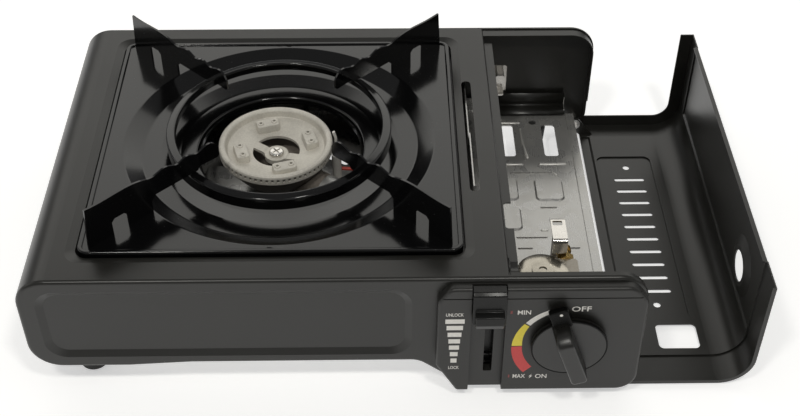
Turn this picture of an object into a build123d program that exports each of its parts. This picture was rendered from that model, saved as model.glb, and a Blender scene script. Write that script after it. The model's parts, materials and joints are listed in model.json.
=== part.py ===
from build123d import *
import math
import os

# Butane cassette stove, millimetres.
# X runs to the right, Y to the back, Z up. The origin is on the table under the middle of the open stove.

# ---------------------------------------------------------------- driving dimensions
sheet = 0.8  # pressed steel thickness
gap = 0.5  # usual clearance between neighbouring sheets

body_left = -205.2
body_right = 137.8
front_y = -105.4
rear_y = 132.6
top_z = 87.0
under_z = 19.1  # underside of the rolled left edge
corner_r = 18.0

pan_x = -67.8  # middle of the drip pan and of its well
pan_y = 15.0
well_w = 214.0
well_d = 200.8
well_floor = 80.0
well_bore_r = 97.0

burner_x = pan_x - 2.9  # the burner stands a little left of the middle
burner_y = pan_y
burner_top = 85.0

bay_left = 61.7  # right edge of the top plate
ledge_right = 67.2
ledge_z = 83.0

tray_z = 19.9  # underside of the base tray
tray_top = tray_z + sheet
tray_right = 121.7
cartridge_r = 33.0
cartridge_x = 99.0
cartridge_z = tray_top + cartridge_r

hinge_x = 129.4
hinge_z = 11.4
hinge_r = 2.5
ear_front_y = -88.5
ear_rear_y = 122.0
ear_t = 1.2
running = 0.05  # radial clearance of a turning fit

lid_out_x = 205.9  # outer face of the lid's wall when open
lid_under = 0.6  # the open lid lies this far above the table
lid_edge_x = 134.0
lid_tip_z = 78.6
lid_front_y = -106.4
lid_rear_y = 133.8
lid_bend_r = 19.6

box_left = 22.8  # control box
box_right = 137.0
box_top = 84.4
box_bottom = 5.6
face_top_y = -111.2  # front face of the control box at its top
face_tilt = 2.7  # degrees from upright
channel_left = 41.2
channel_right = 60.2
channel_depth = 4.4
lever_travel = 36.0

knob_x = 95.6
knob_z = 44.6
knob_r = 20.7
knob_angle = 104.0  # pointer direction at OFF, from +X towards +Z

leg_angle = 43.5
pan_top = 87.4  # upper face of the pan's flat border
ring_r = 67.0
ring_top = 98.2

foot_x = (-176.3, 98.0)
foot_y = (-84.0, 112.0)


panel_rim = 3.0  # depth of an end panel's rolled rim
plate_front = front_y + panel_rim
plate_rear = rear_y - panel_rim
front_low = [(body_right, box_bottom), (32.0, box_bottom), (13.0, 21.3), (-115.0, 21.3), (-150.0, under_z)]
front_low_radii = [13.0, 14.0, 12.0, 30.0, 30.0]
rear_low = [(body_right, box_bottom), (112.0, box_bottom), (100.0, under_z)]
rear_low_radii = [10.0, 6.0, 8.0]

tube_z = 62.0
mouth = (40.0, -60.0)  # mouth of the mixing tube
mouth_run = math.hypot(burner_x - mouth[0], burner_y - mouth[1])
jet_axis = ((burner_x - mouth[0]) / mouth_run, (burner_y - mouth[1]) / mouth_run)  # seen from above

box_screws = [(34.0, 34.0), (70.0, 28.0), (124.0, 70.0)]  # X and Z of the screws that hold the control box
panel_screws = [(-165.0, 25.4), (-60.0, 25.4), (45.0, 25.4)]  # screws of the tray's front and rear flanges
screw_r = 1.5

os.makedirs("parts", exist_ok=True)


def upright(y):
    """Plane facing the front, at depth y: local x is +X, local y is +Z."""
    return Plane.XZ.offset(-y)


def sideways(x):
    """Plane facing the right, at X = x: local x is +Y, local y is +Z."""
    return Plane.YZ.offset(x)


def level(z):
    return Plane.XY.offset(z)


def half_section(x, y):
    """Upright plane through a vertical axis at (x, y): local x is the radius, local y is Z."""
    return Plane(origin=(x, y, 0), x_dir=(1, 0, 0), z_dir=(0, -1, 0))


def vertical_axis(x, y):
    return Axis((x, y, 0), (0, 0, 1))


def strip(points, radii, thickness, side):
    """Flat section of a bent sheet: a path with rounded corners, thickened to one side."""
    with BuildSketch() as section:
        with BuildLine():
            FilletPolyline(*points, radius=radii)
            offset(amount=thickness, side=side)
        make_face()
    return section.sketch


def rounded(plane, low, high, radius):
    """Rounded rectangle on a plane, from its lower left to its upper right corner."""
    with BuildSketch(plane) as shape:
        with Locations(((low[0] + high[0]) / 2, (low[1] + high[1]) / 2)):
            RectangleRounded(high[0] - low[0], high[1] - low[1], radius)
    return shape.sketch


def disc(plane, x, y, radius):
    with BuildSketch(plane) as shape:
        with Locations((x, y)):
            Circle(radius)
    return shape.sketch


def well_outline(z, width, depth, radius):
    """Rounded rectangle about the middle of the pan."""
    half_w, half_d = width / 2, depth / 2
    return rounded(level(z), (pan_x - half_w, pan_y - half_d), (pan_x + half_w, pan_y + half_d), radius)


def panel_outline(low_points, low_radii, inset=0.0):
    """Flat outline of an end panel: rounded body corners and a given lower edge, drawn in by inset."""
    corners = [(body_left, under_z), (body_left, top_z), (body_right, top_z)]
    with BuildSketch() as outline:
        with BuildLine():
            FilletPolyline(*corners, *low_points, radius=[corner_r, corner_r, 17.0, *low_radii], close=True)
        make_face()
        if inset:
            offset(amount=-inset)
    return outline.sketch


def save(part, name):
    part.label = name
    export_step(part, f"parts/{name}.step")


# ---------------------------------------------------------------- top plate
# One sheet, rolled round the left side, with a sunk well for the pan, a long slot and a lowered ledge.
border_w = well_w + 10.0
border_d = well_d + 10.0
border_drop = 1.4
slot_x = 47.0
slot_y = 18.2

with BuildPart() as top_plate:
    with BuildSketch(upright(plate_rear)):
        rolled_edge = [(-172, under_z), (body_left, under_z), (body_left, top_z)]
        joggle = [(bay_left, top_z), (bay_left, ledge_z), (ledge_right, ledge_z)]
        add(strip(rolled_edge + joggle, [corner_r, corner_r, 1.6, 0.6], sheet, Side.RIGHT))
    extrude(amount=plate_rear - plate_front)
    # well: sloped border, upright side and a floor with a round opening
    outer_low = top_z - border_drop - sheet
    loft([well_outline(top_z, border_w + 6, border_d + 6, 12), well_outline(outer_low, well_w + 1.6, well_d + 1.6, 7.8)])
    extrude(well_outline(outer_low, well_w + 2 * sheet, well_d + 2 * sheet, 7.8), amount=well_floor - sheet - outer_low)
    inner_low = top_z - border_drop
    border = [well_outline(top_z, border_w, border_d, 9), well_outline(inner_low, well_w, well_d, 7)]
    loft(border, mode=Mode.SUBTRACT)
    extrude(border[1], amount=well_floor - inner_low, mode=Mode.SUBTRACT)
    extrude(disc(level(well_floor), pan_x, pan_y, well_bore_r), amount=-2, mode=Mode.SUBTRACT)
    # long slot beside the pan
    with BuildSketch(level(top_z + 1)):
        with Locations((slot_x, slot_y)):
            SlotOverall(105.6, 5.9, rotation=90)
    extrude(amount=-4, mode=Mode.SUBTRACT)
    # the ledge stops short of both end panels and has a notch for the cartridge's release
    with BuildSketch(level(top_z + 1)):
        with Locations((ledge_right, -51)):
            RectangleRounded(9.0, 21.6, 2)
    extrude(amount=-8, mode=Mode.SUBTRACT)
    with BuildSketch(level(top_z - sheet)):
        with Locations((bay_left + 8.2, plate_front + 6), (bay_left + 8.2, plate_rear - 3)):
            Rectangle(20, 16)
    extrude(amount=-8, mode=Mode.SUBTRACT)
save(top_plate.part, "top_plate")

# ---------------------------------------------------------------- front panel
# Pressed end panel: rolled rim, sunk field, and a flange that lies inside the top plate.
front_flange = 11.0
field_depth = 2.0
box_slot = (49.6, 54.5, 17.5, 60.0)  # slot of the lock lever: left, right, bottom, top

with BuildPart() as front_panel:
    with BuildSketch(upright(front_y)):
        add(panel_outline(front_low, front_low_radii))
    extrude(amount=-panel_rim)
    fillet(front_panel.faces().sort_by(Axis.Y)[0].edges(), 2.2)
    with BuildSketch(upright(plate_front)):
        add(panel_outline(front_low, front_low_radii, sheet))
    extrude(amount=-front_flange)
    with BuildSketch(upright(front_y + sheet)):
        add(panel_outline(front_low, front_low_radii, 2 * sheet))
    extrude(amount=-(panel_rim + front_flange), mode=Mode.SUBTRACT)
    # no flange along the bottom
    extrude(rounded(upright(plate_front), (-190, 0), (150, 31), 1), amount=-20, mode=Mode.SUBTRACT)
    # sunk field
    field_back = front_y + sheet
    loft([
        rounded(upright(field_back), (-194, 28.5), (8.5, 78.5), 11),
        rounded(upright(field_back + field_depth), (-191, 31.5), (5.5, 75.5), 9),
    ])
    loft([
        rounded(upright(front_y), (-195, 27.5), (9.5, 79.5), 12),
        rounded(upright(front_y + field_depth), (-191, 31.5), (5.5, 75.5), 9),
    ], mode=Mode.SUBTRACT)
    # openings behind the control box
    with BuildSketch(upright(front_y - 1)):
        with Locations((knob_x, knob_z)):
            Circle(6.0)
        with Locations((hinge_x, hinge_z)):
            Circle(hinge_r)
        with Locations(*box_screws, *panel_screws[:2]):
            Circle(screw_r)
        add(rounded(Plane.XY, (box_slot[0], box_slot[2]), (box_slot[1], box_slot[3] + 3), 1.0))
    extrude(amount=-5, mode=Mode.SUBTRACT)
save(front_panel.part, "front_panel")

# ---------------------------------------------------------------- rear panel
rear_flange = 7.0

with BuildPart() as rear_panel:
    with BuildSketch(upright(rear_y)):
        add(panel_outline(rear_low, rear_low_radii))
    extrude(amount=panel_rim)
    fillet(rear_panel.faces().sort_by(Axis.Y)[-1].edges(), 2.2)
    with BuildSketch(upright(plate_rear)):
        add(panel_outline(rear_low, rear_low_radii, sheet))
    extrude(amount=rear_flange)
    with BuildSketch(upright(rear_y - sheet)):
        add(panel_outline(rear_low, rear_low_radii, 2 * sheet))
    extrude(amount=panel_rim + rear_flange, mode=Mode.SUBTRACT)
    extrude(rounded(upright(plate_rear), (-190, 0), (150, 31), 1), amount=20, mode=Mode.SUBTRACT)
    field_back = rear_y - sheet
    loft([
        rounded(upright(field_back), (-194, 32.5), (49, 78.5), 11),
        rounded(upright(field_back - field_depth), (-191, 35.5), (46, 75.5), 9),
    ])
    loft([
        rounded(upright(rear_y), (-195, 31.5), (50, 79.5), 12),
        rounded(upright(rear_y - field_depth), (-191, 35.5), (46, 75.5), 9),
    ], mode=Mode.SUBTRACT)
    with BuildSketch(upright(rear_y + 1)):
        with Locations((hinge_x, hinge_z)):
            Circle(hinge_r)
        with Locations(*panel_screws):
            Circle(screw_r)
    extrude(amount=5, mode=Mode.SUBTRACT)
save(rear_panel.part, "rear_panel")

# ---------------------------------------------------------------- base tray
# Galvanised tray that closes the underside and is the floor of the cartridge bay.
tray_left = -184.0
tray_front = plate_front + 0.2
flange_up = 9.2
pads = [  # raised stiffening pads: low and high corner
    ((66.0, 30.9), (82.4, 52.8)),
    ((66.0, 2.5), (82.4, 24.2)),
    ((93.2, 30.1), (112.0, 51.6)),
]
ridges = [  # thin pressed ridges: low and high corner
    ((70.0, 66.4), (88.3, 68.2)),
    ((98.1, 66.4), (117.3, 68.2)),
    ((78.5, 57.8), (107.8, 59.0)),
    ((95.2, 23.4), (106.0, 24.6)),
    ((77.5, -4.5), (97.1, -3.3)),
    ((77.5, -14.2), (87.0, -13.0)),
    ((108.0, -14.2), (116.6, -13.0)),
    ((88.8, 71.3), (90.2, 103.9)),
]
windows = [((75.5, 75.6), (83.9, 109.0)), ((103.5, 75.6), (112.8, 109.0))]

with BuildPart() as base_tray:
    with BuildSketch(sideways(tray_left)):
        base = [(tray_front, tray_z + flange_up), (tray_front, tray_z), (124.4, tray_z), (124.4, tray_z + 2)]
        back = [(plate_rear, tray_z + 2), (plate_rear, tray_z + flange_up)]
        add(strip(base + back, [1.2, 0.4, 0.4, 0.4], sheet, Side.LEFT))
    extrude(amount=tray_right - tray_left)
    # turned-down right edge
    with BuildSketch(level(tray_z)):
        with Locations((tray_right - sheet / 2, (tray_front + 124.0) / 2)):
            Rectangle(sheet, 124.0 - tray_front)
    extrude(amount=-4)
    for low, high in pads:
        loft([rounded(level(tray_top), low, high, 3.5), rounded(level(tray_top + 1.1), (low[0] + 1, low[1] + 1), (high[0] - 1, high[1] - 1), 2.5)])
        low_in = (low[0] + 1, low[1] + 1)
        high_in = (high[0] - 1, high[1] - 1)
        extrude(rounded(level(tray_z), low_in, high_in, 2.5), amount=1.1, mode=Mode.SUBTRACT)
    for low, high in ridges:
        extrude(rounded(level(tray_top), low, high, 0.55), amount=0.7, taper=20)
    for low, high in windows:
        extrude(rounded(level(tray_top + 1), low, high, 2.0), amount=-3, mode=Mode.SUBTRACT)
    # pressed dish under the burner and ventilation slots round it
    extrude(disc(level(tray_top), burner_x, burner_y, 52), amount=1.2, taper=30)
    extrude(disc(level(tray_z), burner_x, burner_y, 50), amount=1.2, taper=30, mode=Mode.SUBTRACT)
    with BuildSketch(level(tray_top + 3)):
        with Locations((burner_x, burner_y)):
            with PolarLocations(68, 12):
                SlotOverall(18, 5, rotation=90)
    extrude(amount=-6, mode=Mode.SUBTRACT)
    # gap in the front flange for the lock slide, and holes for the screws
    extrude(rounded(upright(tray_front - 1), (43, tray_top + 2), (61, 40), 1), amount=-3, mode=Mode.SUBTRACT)
    with BuildSketch(upright(tray_front - 1)):
        with Locations(*panel_screws[:2]):
            Circle(screw_r)
    extrude(amount=-3, mode=Mode.SUBTRACT)
    with BuildSketch(upright(plate_rear - 2)):
        with Locations(*panel_screws):
            Circle(screw_r)
    extrude(amount=-4, mode=Mode.SUBTRACT)
    with BuildSketch(level(tray_top + 1)):
        with Locations(*[(x, y) for x in foot_x for y in foot_y]):
            Circle(2.5)
    extrude(amount=-3, mode=Mode.SUBTRACT)
save(base_tray.part, "base_tray")

# ---------------------------------------------------------------- cover rail
# Folded strip along the right edge of the tray, with a tab at each end for the hinge pins.
rail_top = 19.0
rail_tabs = (ear_front_y + ear_t + 0.4, ear_rear_y - 0.4 - sheet)  # front faces of the tabs

with BuildPart() as cover_rail:
    with BuildSketch(upright(124.0)):
        rail_path = [(tray_right, 14.0), (tray_right, rail_top), (128.1, rail_top)]
        add(strip(rail_path, 1.2, sheet, Side.RIGHT))
    extrude(amount=124.0 + 89.0)
    for tab_y in rail_tabs:
        with BuildSketch(upright(tab_y)):
            with BuildLine():
                Polyline(
                    (tray_right + sheet, rail_top - 0.4),
                    (tray_right + sheet, hinge_z - 4.0),
                    (hinge_x, hinge_z - 4.0),
                )
                ThreePointArc((hinge_x, hinge_z - 4.0), (hinge_x + 4.0, hinge_z), (hinge_x, hinge_z + 4.0))
                Polyline(
                    (hinge_x, hinge_z + 4.0),
                    (127.5, hinge_z + 4.0),
                    (127.5, rail_top - 0.4),
                    (tray_right + sheet, rail_top - 0.4),
                )
            make_face()
            with Locations((hinge_x, hinge_z)):
                Circle(hinge_r, mode=Mode.SUBTRACT)
        extrude(amount=-sheet)
save(cover_rail.part, "cover_rail")

# ---------------------------------------------------------------- heat shield
# Upright sheet between the burner and the cartridge, with a tongue that shows in the plate's slot.
shield_x = 46.6
shield_rear = 123.4
shield_hole = (-64.4, tube_z)  # Y and Z of the hole for the gas jet
lead_hole = (-41.6, 24.0)  # and of the hole for the ignition lead

with BuildPart() as heat_shield:
    with BuildSketch(sideways(shield_x)):
        with BuildLine():
            Polyline(
                (-88.0, tray_top), (shield_rear, tray_top), (shield_rear, 78.0), (24.0, 78.0), (22.6, 84.0),
                (-26.5, 84.0), (-28.0, 78.0), (-88.0, 78.0), close=True,
            )
        make_face()
        with Locations(shield_hole):
            Circle(9.0, mode=Mode.SUBTRACT)
        with Locations(lead_hole):
            Circle(2.4, mode=Mode.SUBTRACT)
    extrude(amount=sheet)
    with BuildSketch(level(tray_top)):
        with Locations((shield_x - 5.0, (shield_rear - 30.0) / 2)):
            Rectangle(10.0, shield_rear + 30.0)
    extrude(amount=sheet)
    # pressed rib along the middle
    extrude(rounded(sideways(shield_x + sheet), (-40, 40), (110, 46), 2.9), amount=1.4, taper=20)
    extrude(rounded(sideways(shield_x), (-39, 41), (109, 45), 1.9), amount=1.4, taper=10, mode=Mode.SUBTRACT)
save(heat_shield.part, "heat_shield")

# ---------------------------------------------------------------- control box
# Moulded cover over the front: tilted dial face, rounded top, open channel for the lock lever.
face_rise = math.tan(math.radians(face_tilt))
face_mark_z = 79.0  # height at which the face is at face_top_y
face_normal = (0.0, -math.cos(math.radians(face_tilt)), math.sin(math.radians(face_tilt)))
face_plane = Plane(origin=(0, face_top_y, face_mark_z), x_dir=(1, 0, 0), z_dir=face_normal)
box_wall = 1.8
box_points = [
    (box_left, 26.0), (box_left, 74.5), (29.5, box_top), (129.0, box_top), (box_right, 74.0),
    (box_right, box_bottom), (34.5, box_bottom),
]
box_radii = [2.5, 5.0, 6.0, 9.0, 7.0, 12.0, 2.5]


def face_y(z):
    """Depth of the control box's face at a height."""
    return face_top_y + face_rise * (z - face_mark_z)


def cavity(low, high, radius):
    """Hollow from the back of the control box to just behind its face."""
    return loft([
        rounded(upright(front_y), low, high, radius),
        rounded(
            face_plane.offset(-box_wall),
            (low[0] + 0.4, low[1] - face_mark_z + 0.4),
            (high[0] - 0.4, high[1] - face_mark_z - 0.4),
            radius,
        ),
    ], mode=Mode.PRIVATE)


box_cavities = [cavity((24.6, 30.0), (39.4, 72.0), 3), cavity((62.4, 7.8), (134.8, 78.6), 9)]

with BuildPart() as control_box:
    with BuildSketch(upright(front_y)):
        with BuildLine():
            FilletPolyline(*box_points, radius=box_radii, close=True)
        make_face()
    extrude(amount=14)
    split(bisect_by=face_plane, keep=Keep.BOTTOM)
    front_face = control_box.faces().sort_by(Axis.Y)[0]
    fillet(front_face.edges(), 2.0)
    # lever channel, open at top and bottom
    with BuildSketch(face_plane.offset(1)):
        with Locations(((channel_left + channel_right) / 2, -30)):
            Rectangle(channel_right - channel_left, 120)
    extrude(amount=-(channel_depth + 1), mode=Mode.SUBTRACT)
    add(box_cavities, mode=Mode.SUBTRACT)
    # thin groove under the rounded top
    with BuildSketch(face_plane.offset(0.5)):
        with Locations((0, 77.6 - face_mark_z)):
            Rectangle(300, 0.7)
    extrude(amount=-1.0, mode=Mode.SUBTRACT)
    # bosses for the screws that come through the panel
    for x, z in box_screws:
        extrude(disc(upright(front_y), x, z, 4.0), amount=face_y(z) * -1 + front_y - 0.9)
    # openings
    with BuildSketch(upright(front_y + 1)):
        with Locations((knob_x, knob_z)):
            Circle(4.5)
        add(rounded(Plane.XY, (box_slot[0], box_slot[2]), (box_slot[1], box_slot[3]), 1.0))
    extrude(amount=20, mode=Mode.SUBTRACT)
    with BuildSketch(upright(front_y)):
        with Locations(*box_screws):
            Circle(screw_r)
    extrude(amount=4.5, mode=Mode.SUBTRACT)
    with BuildSketch(upright(front_y)):
        with Locations((hinge_x, hinge_z)):
            Circle(3.9)
    extrude(amount=2.4, mode=Mode.SUBTRACT)
save(control_box.part, "control_box")

# ---------------------------------------------------------------- knob and its spindle
knob_back = face_y(knob_z - knob_r) - 0.6
knob_thick = 4.6
grip_high = 15.0
spindle_r = 3.0
turn = math.radians(knob_angle)
knob_plane = Plane(
    origin=(knob_x, knob_back, knob_z), x_dir=(math.cos(turn), 0, math.sin(turn)), z_dir=(0, -1, 0)
)

with BuildPart() as knob:
    with BuildSketch(knob_plane):
        Circle(knob_r)
    extrude(amount=knob_thick)
    fillet(knob.faces().sort_by(Axis.Y)[0].edges(), 0.9)
    extrude(rounded(knob_plane, (12.0, -7.6), (28.5, 7.2), 2.4), amount=knob_thick - 0.6)
    grip_foot = rounded(knob_plane.offset(knob_thick - 0.6), (-19.8, -5.3), (18.6, 5.3), 2.0)
    grip_top = rounded(knob_plane.offset(knob_thick + grip_high), (-18.6, -4.4), (16.2, 4.4), 2.0)
    loft([grip_foot, grip_top])
    fillet(knob.faces().sort_by(Axis.Y)[0].edges(), 1.1)
    with BuildSketch(knob_plane):
        Circle(spindle_r)
    extrude(amount=10, mode=Mode.SUBTRACT)
    with BuildSketch(knob_plane):
        Circle(18.6)
        Circle(6.0, mode=Mode.SUBTRACT)
    extrude(amount=2.6, mode=Mode.SUBTRACT)
save(knob.part, "knob")

with BuildPart() as valve_spindle:
    with BuildSketch(upright(knob_back - 10)):
        with Locations((knob_x, knob_z)):
            Circle(spindle_r)
    extrude(amount=-(10 - knob_back + (-96.0)))
save(valve_spindle.part, "valve_spindle")

# ---------------------------------------------------------------- lock lever and the slide behind it
lever_left = channel_left + 0.4
lever_right = channel_right - 0.4
lever_low = 56.0
lever_high = 84.0
lever_gap = 0.4


def lever_point(z, proud):
    """Point of the lever's profile: proud of the box face by the given amount."""
    return (face_y(z) - proud, z)


with BuildPart() as lock_lever:
    with BuildSketch(sideways(lever_left)):
        with BuildLine():
            Polyline(
                lever_point(lever_high, lever_gap - channel_depth), lever_point(lever_high, 0.6),
                lever_point(79.5, 4.6), lever_point(68.6, 8.4), lever_point(67.2, 8.2),
                lever_point(66.4, 4.6), lever_point(63.2, 5.4), lever_point(59.4, 6.8),
                lever_point(57.2, 6.2), lever_point(lever_low, 3.0),
                lever_point(lever_low, lever_gap - channel_depth), close=True,
            )
        make_face()
    extrude(amount=lever_right - lever_left)
    fillet(lock_lever.edges().filter_by(Axis.X).filter_by(lambda e: e.center().Y < -113 and e.center().Z > 58), 0.7)
save(lock_lever.part, "lock_lever")

neck_low = 56.6
neck_high = 59.8
slide_front = -102.6
slide_t = 1.6

with BuildPart() as lock_slide:
    with BuildSketch(upright(slide_front)):
        add(rounded(Plane.XY, (45.0, 55.0), (59.0, 82.0), 2.0))
    extrude(amount=-slide_t)
    # neck through the slots of the panel and the box
    with BuildSketch(sideways(box_slot[0] + 0.45)):
        with BuildLine():
            Polyline(
                lever_point(neck_high, lever_gap - channel_depth), (slide_front, neck_high),
                (slide_front, neck_low), lever_point(neck_low, lever_gap - channel_depth), close=True,
            )
        make_face()
    extrude(amount=4.0)
save(lock_slide.part, "lock_slide")

# ---------------------------------------------------------------- gas controls
drum_x, drum_y, drum_r = 84.4, -71.7, 14.7
drum_low, drum_high = 38.0, 57.0
inlet_z = cartridge_z
clip_under = 68.35  # underside of the locating clip
clip_t = 1.2

with BuildPart() as regulator_body:
    with BuildSketch(level(drum_low)):
        with Locations((drum_x, drum_y)):
            Circle(drum_r - 1.7)
    extrude(amount=drum_high - drum_low)
    fillet(regulator_body.faces().sort_by(Axis.Z)[0].edges(), 2.0)
    extrude(disc(level(drum_high - 6.0), drum_x, drum_y, drum_r), amount=6.0)
    # arm to the inlet, and beside the inlet the pedestal that the locating clip slides on
    extrude(rounded(level(46.5), (88.0, -72.0), (105.5, -60.0), 2.0), amount=drum_high - 46.5)
    extrude(rounded(level(46.5), (91.4, -62.0), (94.2, -50.0), 0.6), amount=10.0)
    extrude(rounded(level(50.0), (91.4, -56.6), (94.2, -50.0), 0.6), amount=clip_under - running - 50.0)
    extrude(rounded(level(60.0), (91.4, -56.6), (98.6, -50.0), 0.6), amount=clip_under - running - 60.0)
    # neck to the valve
    with BuildSketch(upright(-87.0)):
        with Locations((92.5, knob_z)):
            RectangleRounded(11.0, 10.0, 2.0)
    extrude(amount=-10.0)
save(regulator_body.part, "regulator_body")

with BuildPart() as regulator_cap:
    with BuildSketch(half_section(drum_x, drum_y)):
        with BuildLine():
            Line((0, drum_high), (drum_r, drum_high))
            Line((drum_r, drum_high), (drum_r, drum_high + 0.9))
            ThreePointArc((drum_r, drum_high + 0.9), (10.8, drum_high + 2.0), (6.4, drum_high + 2.4))
            Line((6.4, drum_high + 2.4), (6.1, drum_high + 3.2))
            Line((6.1, drum_high + 3.2), (0, drum_high + 3.2))
            Line((0, drum_high + 3.2), (0, drum_high))
        make_face()
    revolve(axis=vertical_axis(drum_x, drum_y))
    extrude(disc(level(drum_high + 3.2), drum_x, drum_y, 2.4), amount=-0.7, mode=Mode.SUBTRACT)
save(regulator_cap.part, "regulator_cap")

with BuildPart() as inlet_fitting:
    with BuildSketch(upright(-60.0)):
        with Locations((cartridge_x, inlet_z)):
            RegularPolygon(4.6, 6, major_radius=False, rotation=30)
    extrude(amount=-4.0)
    with BuildSketch(upright(-56.0)):
        with Locations((cartridge_x, inlet_z)):
            Circle(3.6)
    extrude(amount=-5.0)
    with BuildSketch(upright(-51.0)):
        with Locations((cartridge_x, inlet_z)):
            Circle(4.4)
    extrude(amount=-3.0)
    chamfer(inlet_fitting.faces().sort_by(Axis.Y)[-1].edges(), 0.6)
    with BuildSketch(upright(-48.0)):
        with Locations((cartridge_x, inlet_z)):
            Circle(2.0)
    extrude(amount=8.0, mode=Mode.SUBTRACT)
save(inlet_fitting.part, "inlet_fitting")

with BuildPart() as locating_clip:
    with BuildSketch(sideways(91.0)):
        path = [(-57.2, 59.6), (-57.2, clip_under), (-40.2, clip_under), (-38.2, clip_under - 2.4)]
        add(strip(path, [0.9, 0.9], clip_t, Side.LEFT))
    extrude(amount=8.5)
    # window over the cartridge's collar
    extrude(rounded(level(75), (91.9, -45.2), (97.6, -41.4), 0.6), amount=-12, mode=Mode.SUBTRACT)
save(locating_clip.part, "locating_clip")

with BuildPart() as valve_body:
    with BuildSketch(upright(front_y + sheet)):
        with Locations((knob_x, knob_z)):
            Circle(9.0)
    extrude(amount=-17.6)
    # mounting plate behind the panel, with a lug for the igniter
    extrude(rounded(upright(front_y + sheet), (82.0, 32.0), (120.0, 56.0), 3.0), amount=-2.0)
    with BuildSketch(upright(front_y + sheet)):
        with Locations((knob_x, knob_z)):
            Circle(spindle_r + running)
    extrude(amount=-10.0, mode=Mode.SUBTRACT)
save(valve_body.part, "valve_body")

igniter_x, igniter_z, igniter_r = 112.0, 40.0, 5.5
igniter_front = front_y + sheet + 2.0
igniter_back = -70.0

with BuildPart() as igniter:
    with BuildSketch(upright(igniter_front)):
        with Locations((igniter_x, igniter_z)):
            Circle(igniter_r)
    extrude(amount=-(igniter_back - igniter_front))
    fillet(igniter.faces().sort_by(Axis.Y)[-1].edges(), 1.2)
    with BuildSketch(upright(igniter_front)):
        with Locations((igniter_x, igniter_z)):
            Circle(igniter_r + 1.6)
    extrude(amount=-3.0)
save(igniter.part, "igniter")


def along_jet(distance):
    """Point on the axis of the jet and the mixing tube, counted from the mouth towards the burner."""
    return (mouth[0] + jet_axis[0] * distance, mouth[1] + jet_axis[1] * distance, tube_z)


def across_jet(distance):
    """Plane across that axis, facing the burner: local y is +Z."""
    return Plane(origin=along_jet(distance), x_dir=(-jet_axis[1], jet_axis[0], 0), z_dir=(*jet_axis, 0))


def along_section():
    """Plane along that axis: local x runs towards the burner, local y is +Z."""
    return Plane(origin=along_jet(0), x_dir=(*jet_axis, 0), z_dir=(jet_axis[1], -jet_axis[0], 0))


jet_start = -14.0
pipe_r = 2.0

with BuildPart() as gas_pipe:
    with BuildLine():
        pipe_turn = along_jet(jet_start - 14.0)
        FilletPolyline(
            (knob_x - 9.0, -95.0, knob_z), (63.5, -95.0, knob_z), pipe_turn, along_jet(jet_start), radius=7.0
        )
    with BuildSketch(Plane(origin=(knob_x - 9.0, -95.0, knob_z), z_dir=(-1, 0, 0))):
        Circle(pipe_r)
    sweep()
    # collar at the valve, set into its round side
    with BuildSketch(Plane(origin=(knob_x - 12.0, -95.0, knob_z), z_dir=(1, 0, 0))):
        Circle(3.2)
    extrude(amount=3.0)
    extrude(disc(upright(-85.0), knob_x, knob_z, 9.0), amount=25, mode=Mode.SUBTRACT)
save(gas_pipe.part, "gas_pipe")

with BuildPart() as gas_jet:
    with BuildSketch(across_jet(jet_start)):
        RegularPolygon(4.0, 6, major_radius=False)
    extrude(amount=5.0)
    with BuildSketch(across_jet(jet_start + 5.0)):
        Circle(3.0)
    extrude(amount=-jet_start - 5.0 + 3.0)
    with BuildSketch(across_jet(3.0)):
        Circle(0.6)
    extrude(amount=-6.0, mode=Mode.SUBTRACT)
save(gas_jet.part, "gas_jet")

tube_end = mouth_run - 36.0

with BuildPart() as mixing_tube:
    with BuildSketch(along_section()):
        with BuildLine():
            Line((0, 8.6), (0, 10.4))
            Spline((0, 10.4), (5, 8.9), (16, 8.2), tangents=[(0.2, -1), (1, 0)])
            Line((16, 8.2), (tube_end, 10.6))
            Line((tube_end, 10.6), (tube_end, 9.0))
            Line((tube_end, 9.0), (16, 6.6))
            Spline((16, 6.6), (5, 7.2), (0, 8.6), tangents=[(-1, 0), (-0.2, 1)])
        make_face()
    revolve(axis=Axis(along_jet(0), (*jet_axis, 0)))
    # bar across the mouth that holds the nose of the jet
    extrude(rounded(across_jet(0), (-9.4, -3.4), (9.4, 3.4), 1.5), amount=3.0)
    with BuildSketch(across_jet(0)):
        Circle(3.0)
    extrude(amount=3.0, mode=Mode.SUBTRACT)
save(mixing_tube.part, "mixing_tube")

# ---------------------------------------------------------------- burner
head_r = 34.3
teeth_low = 79.0
teeth = 64
boss_angles = [17 + 90 * i for i in range(4)]
boss_top = 80.6

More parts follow.
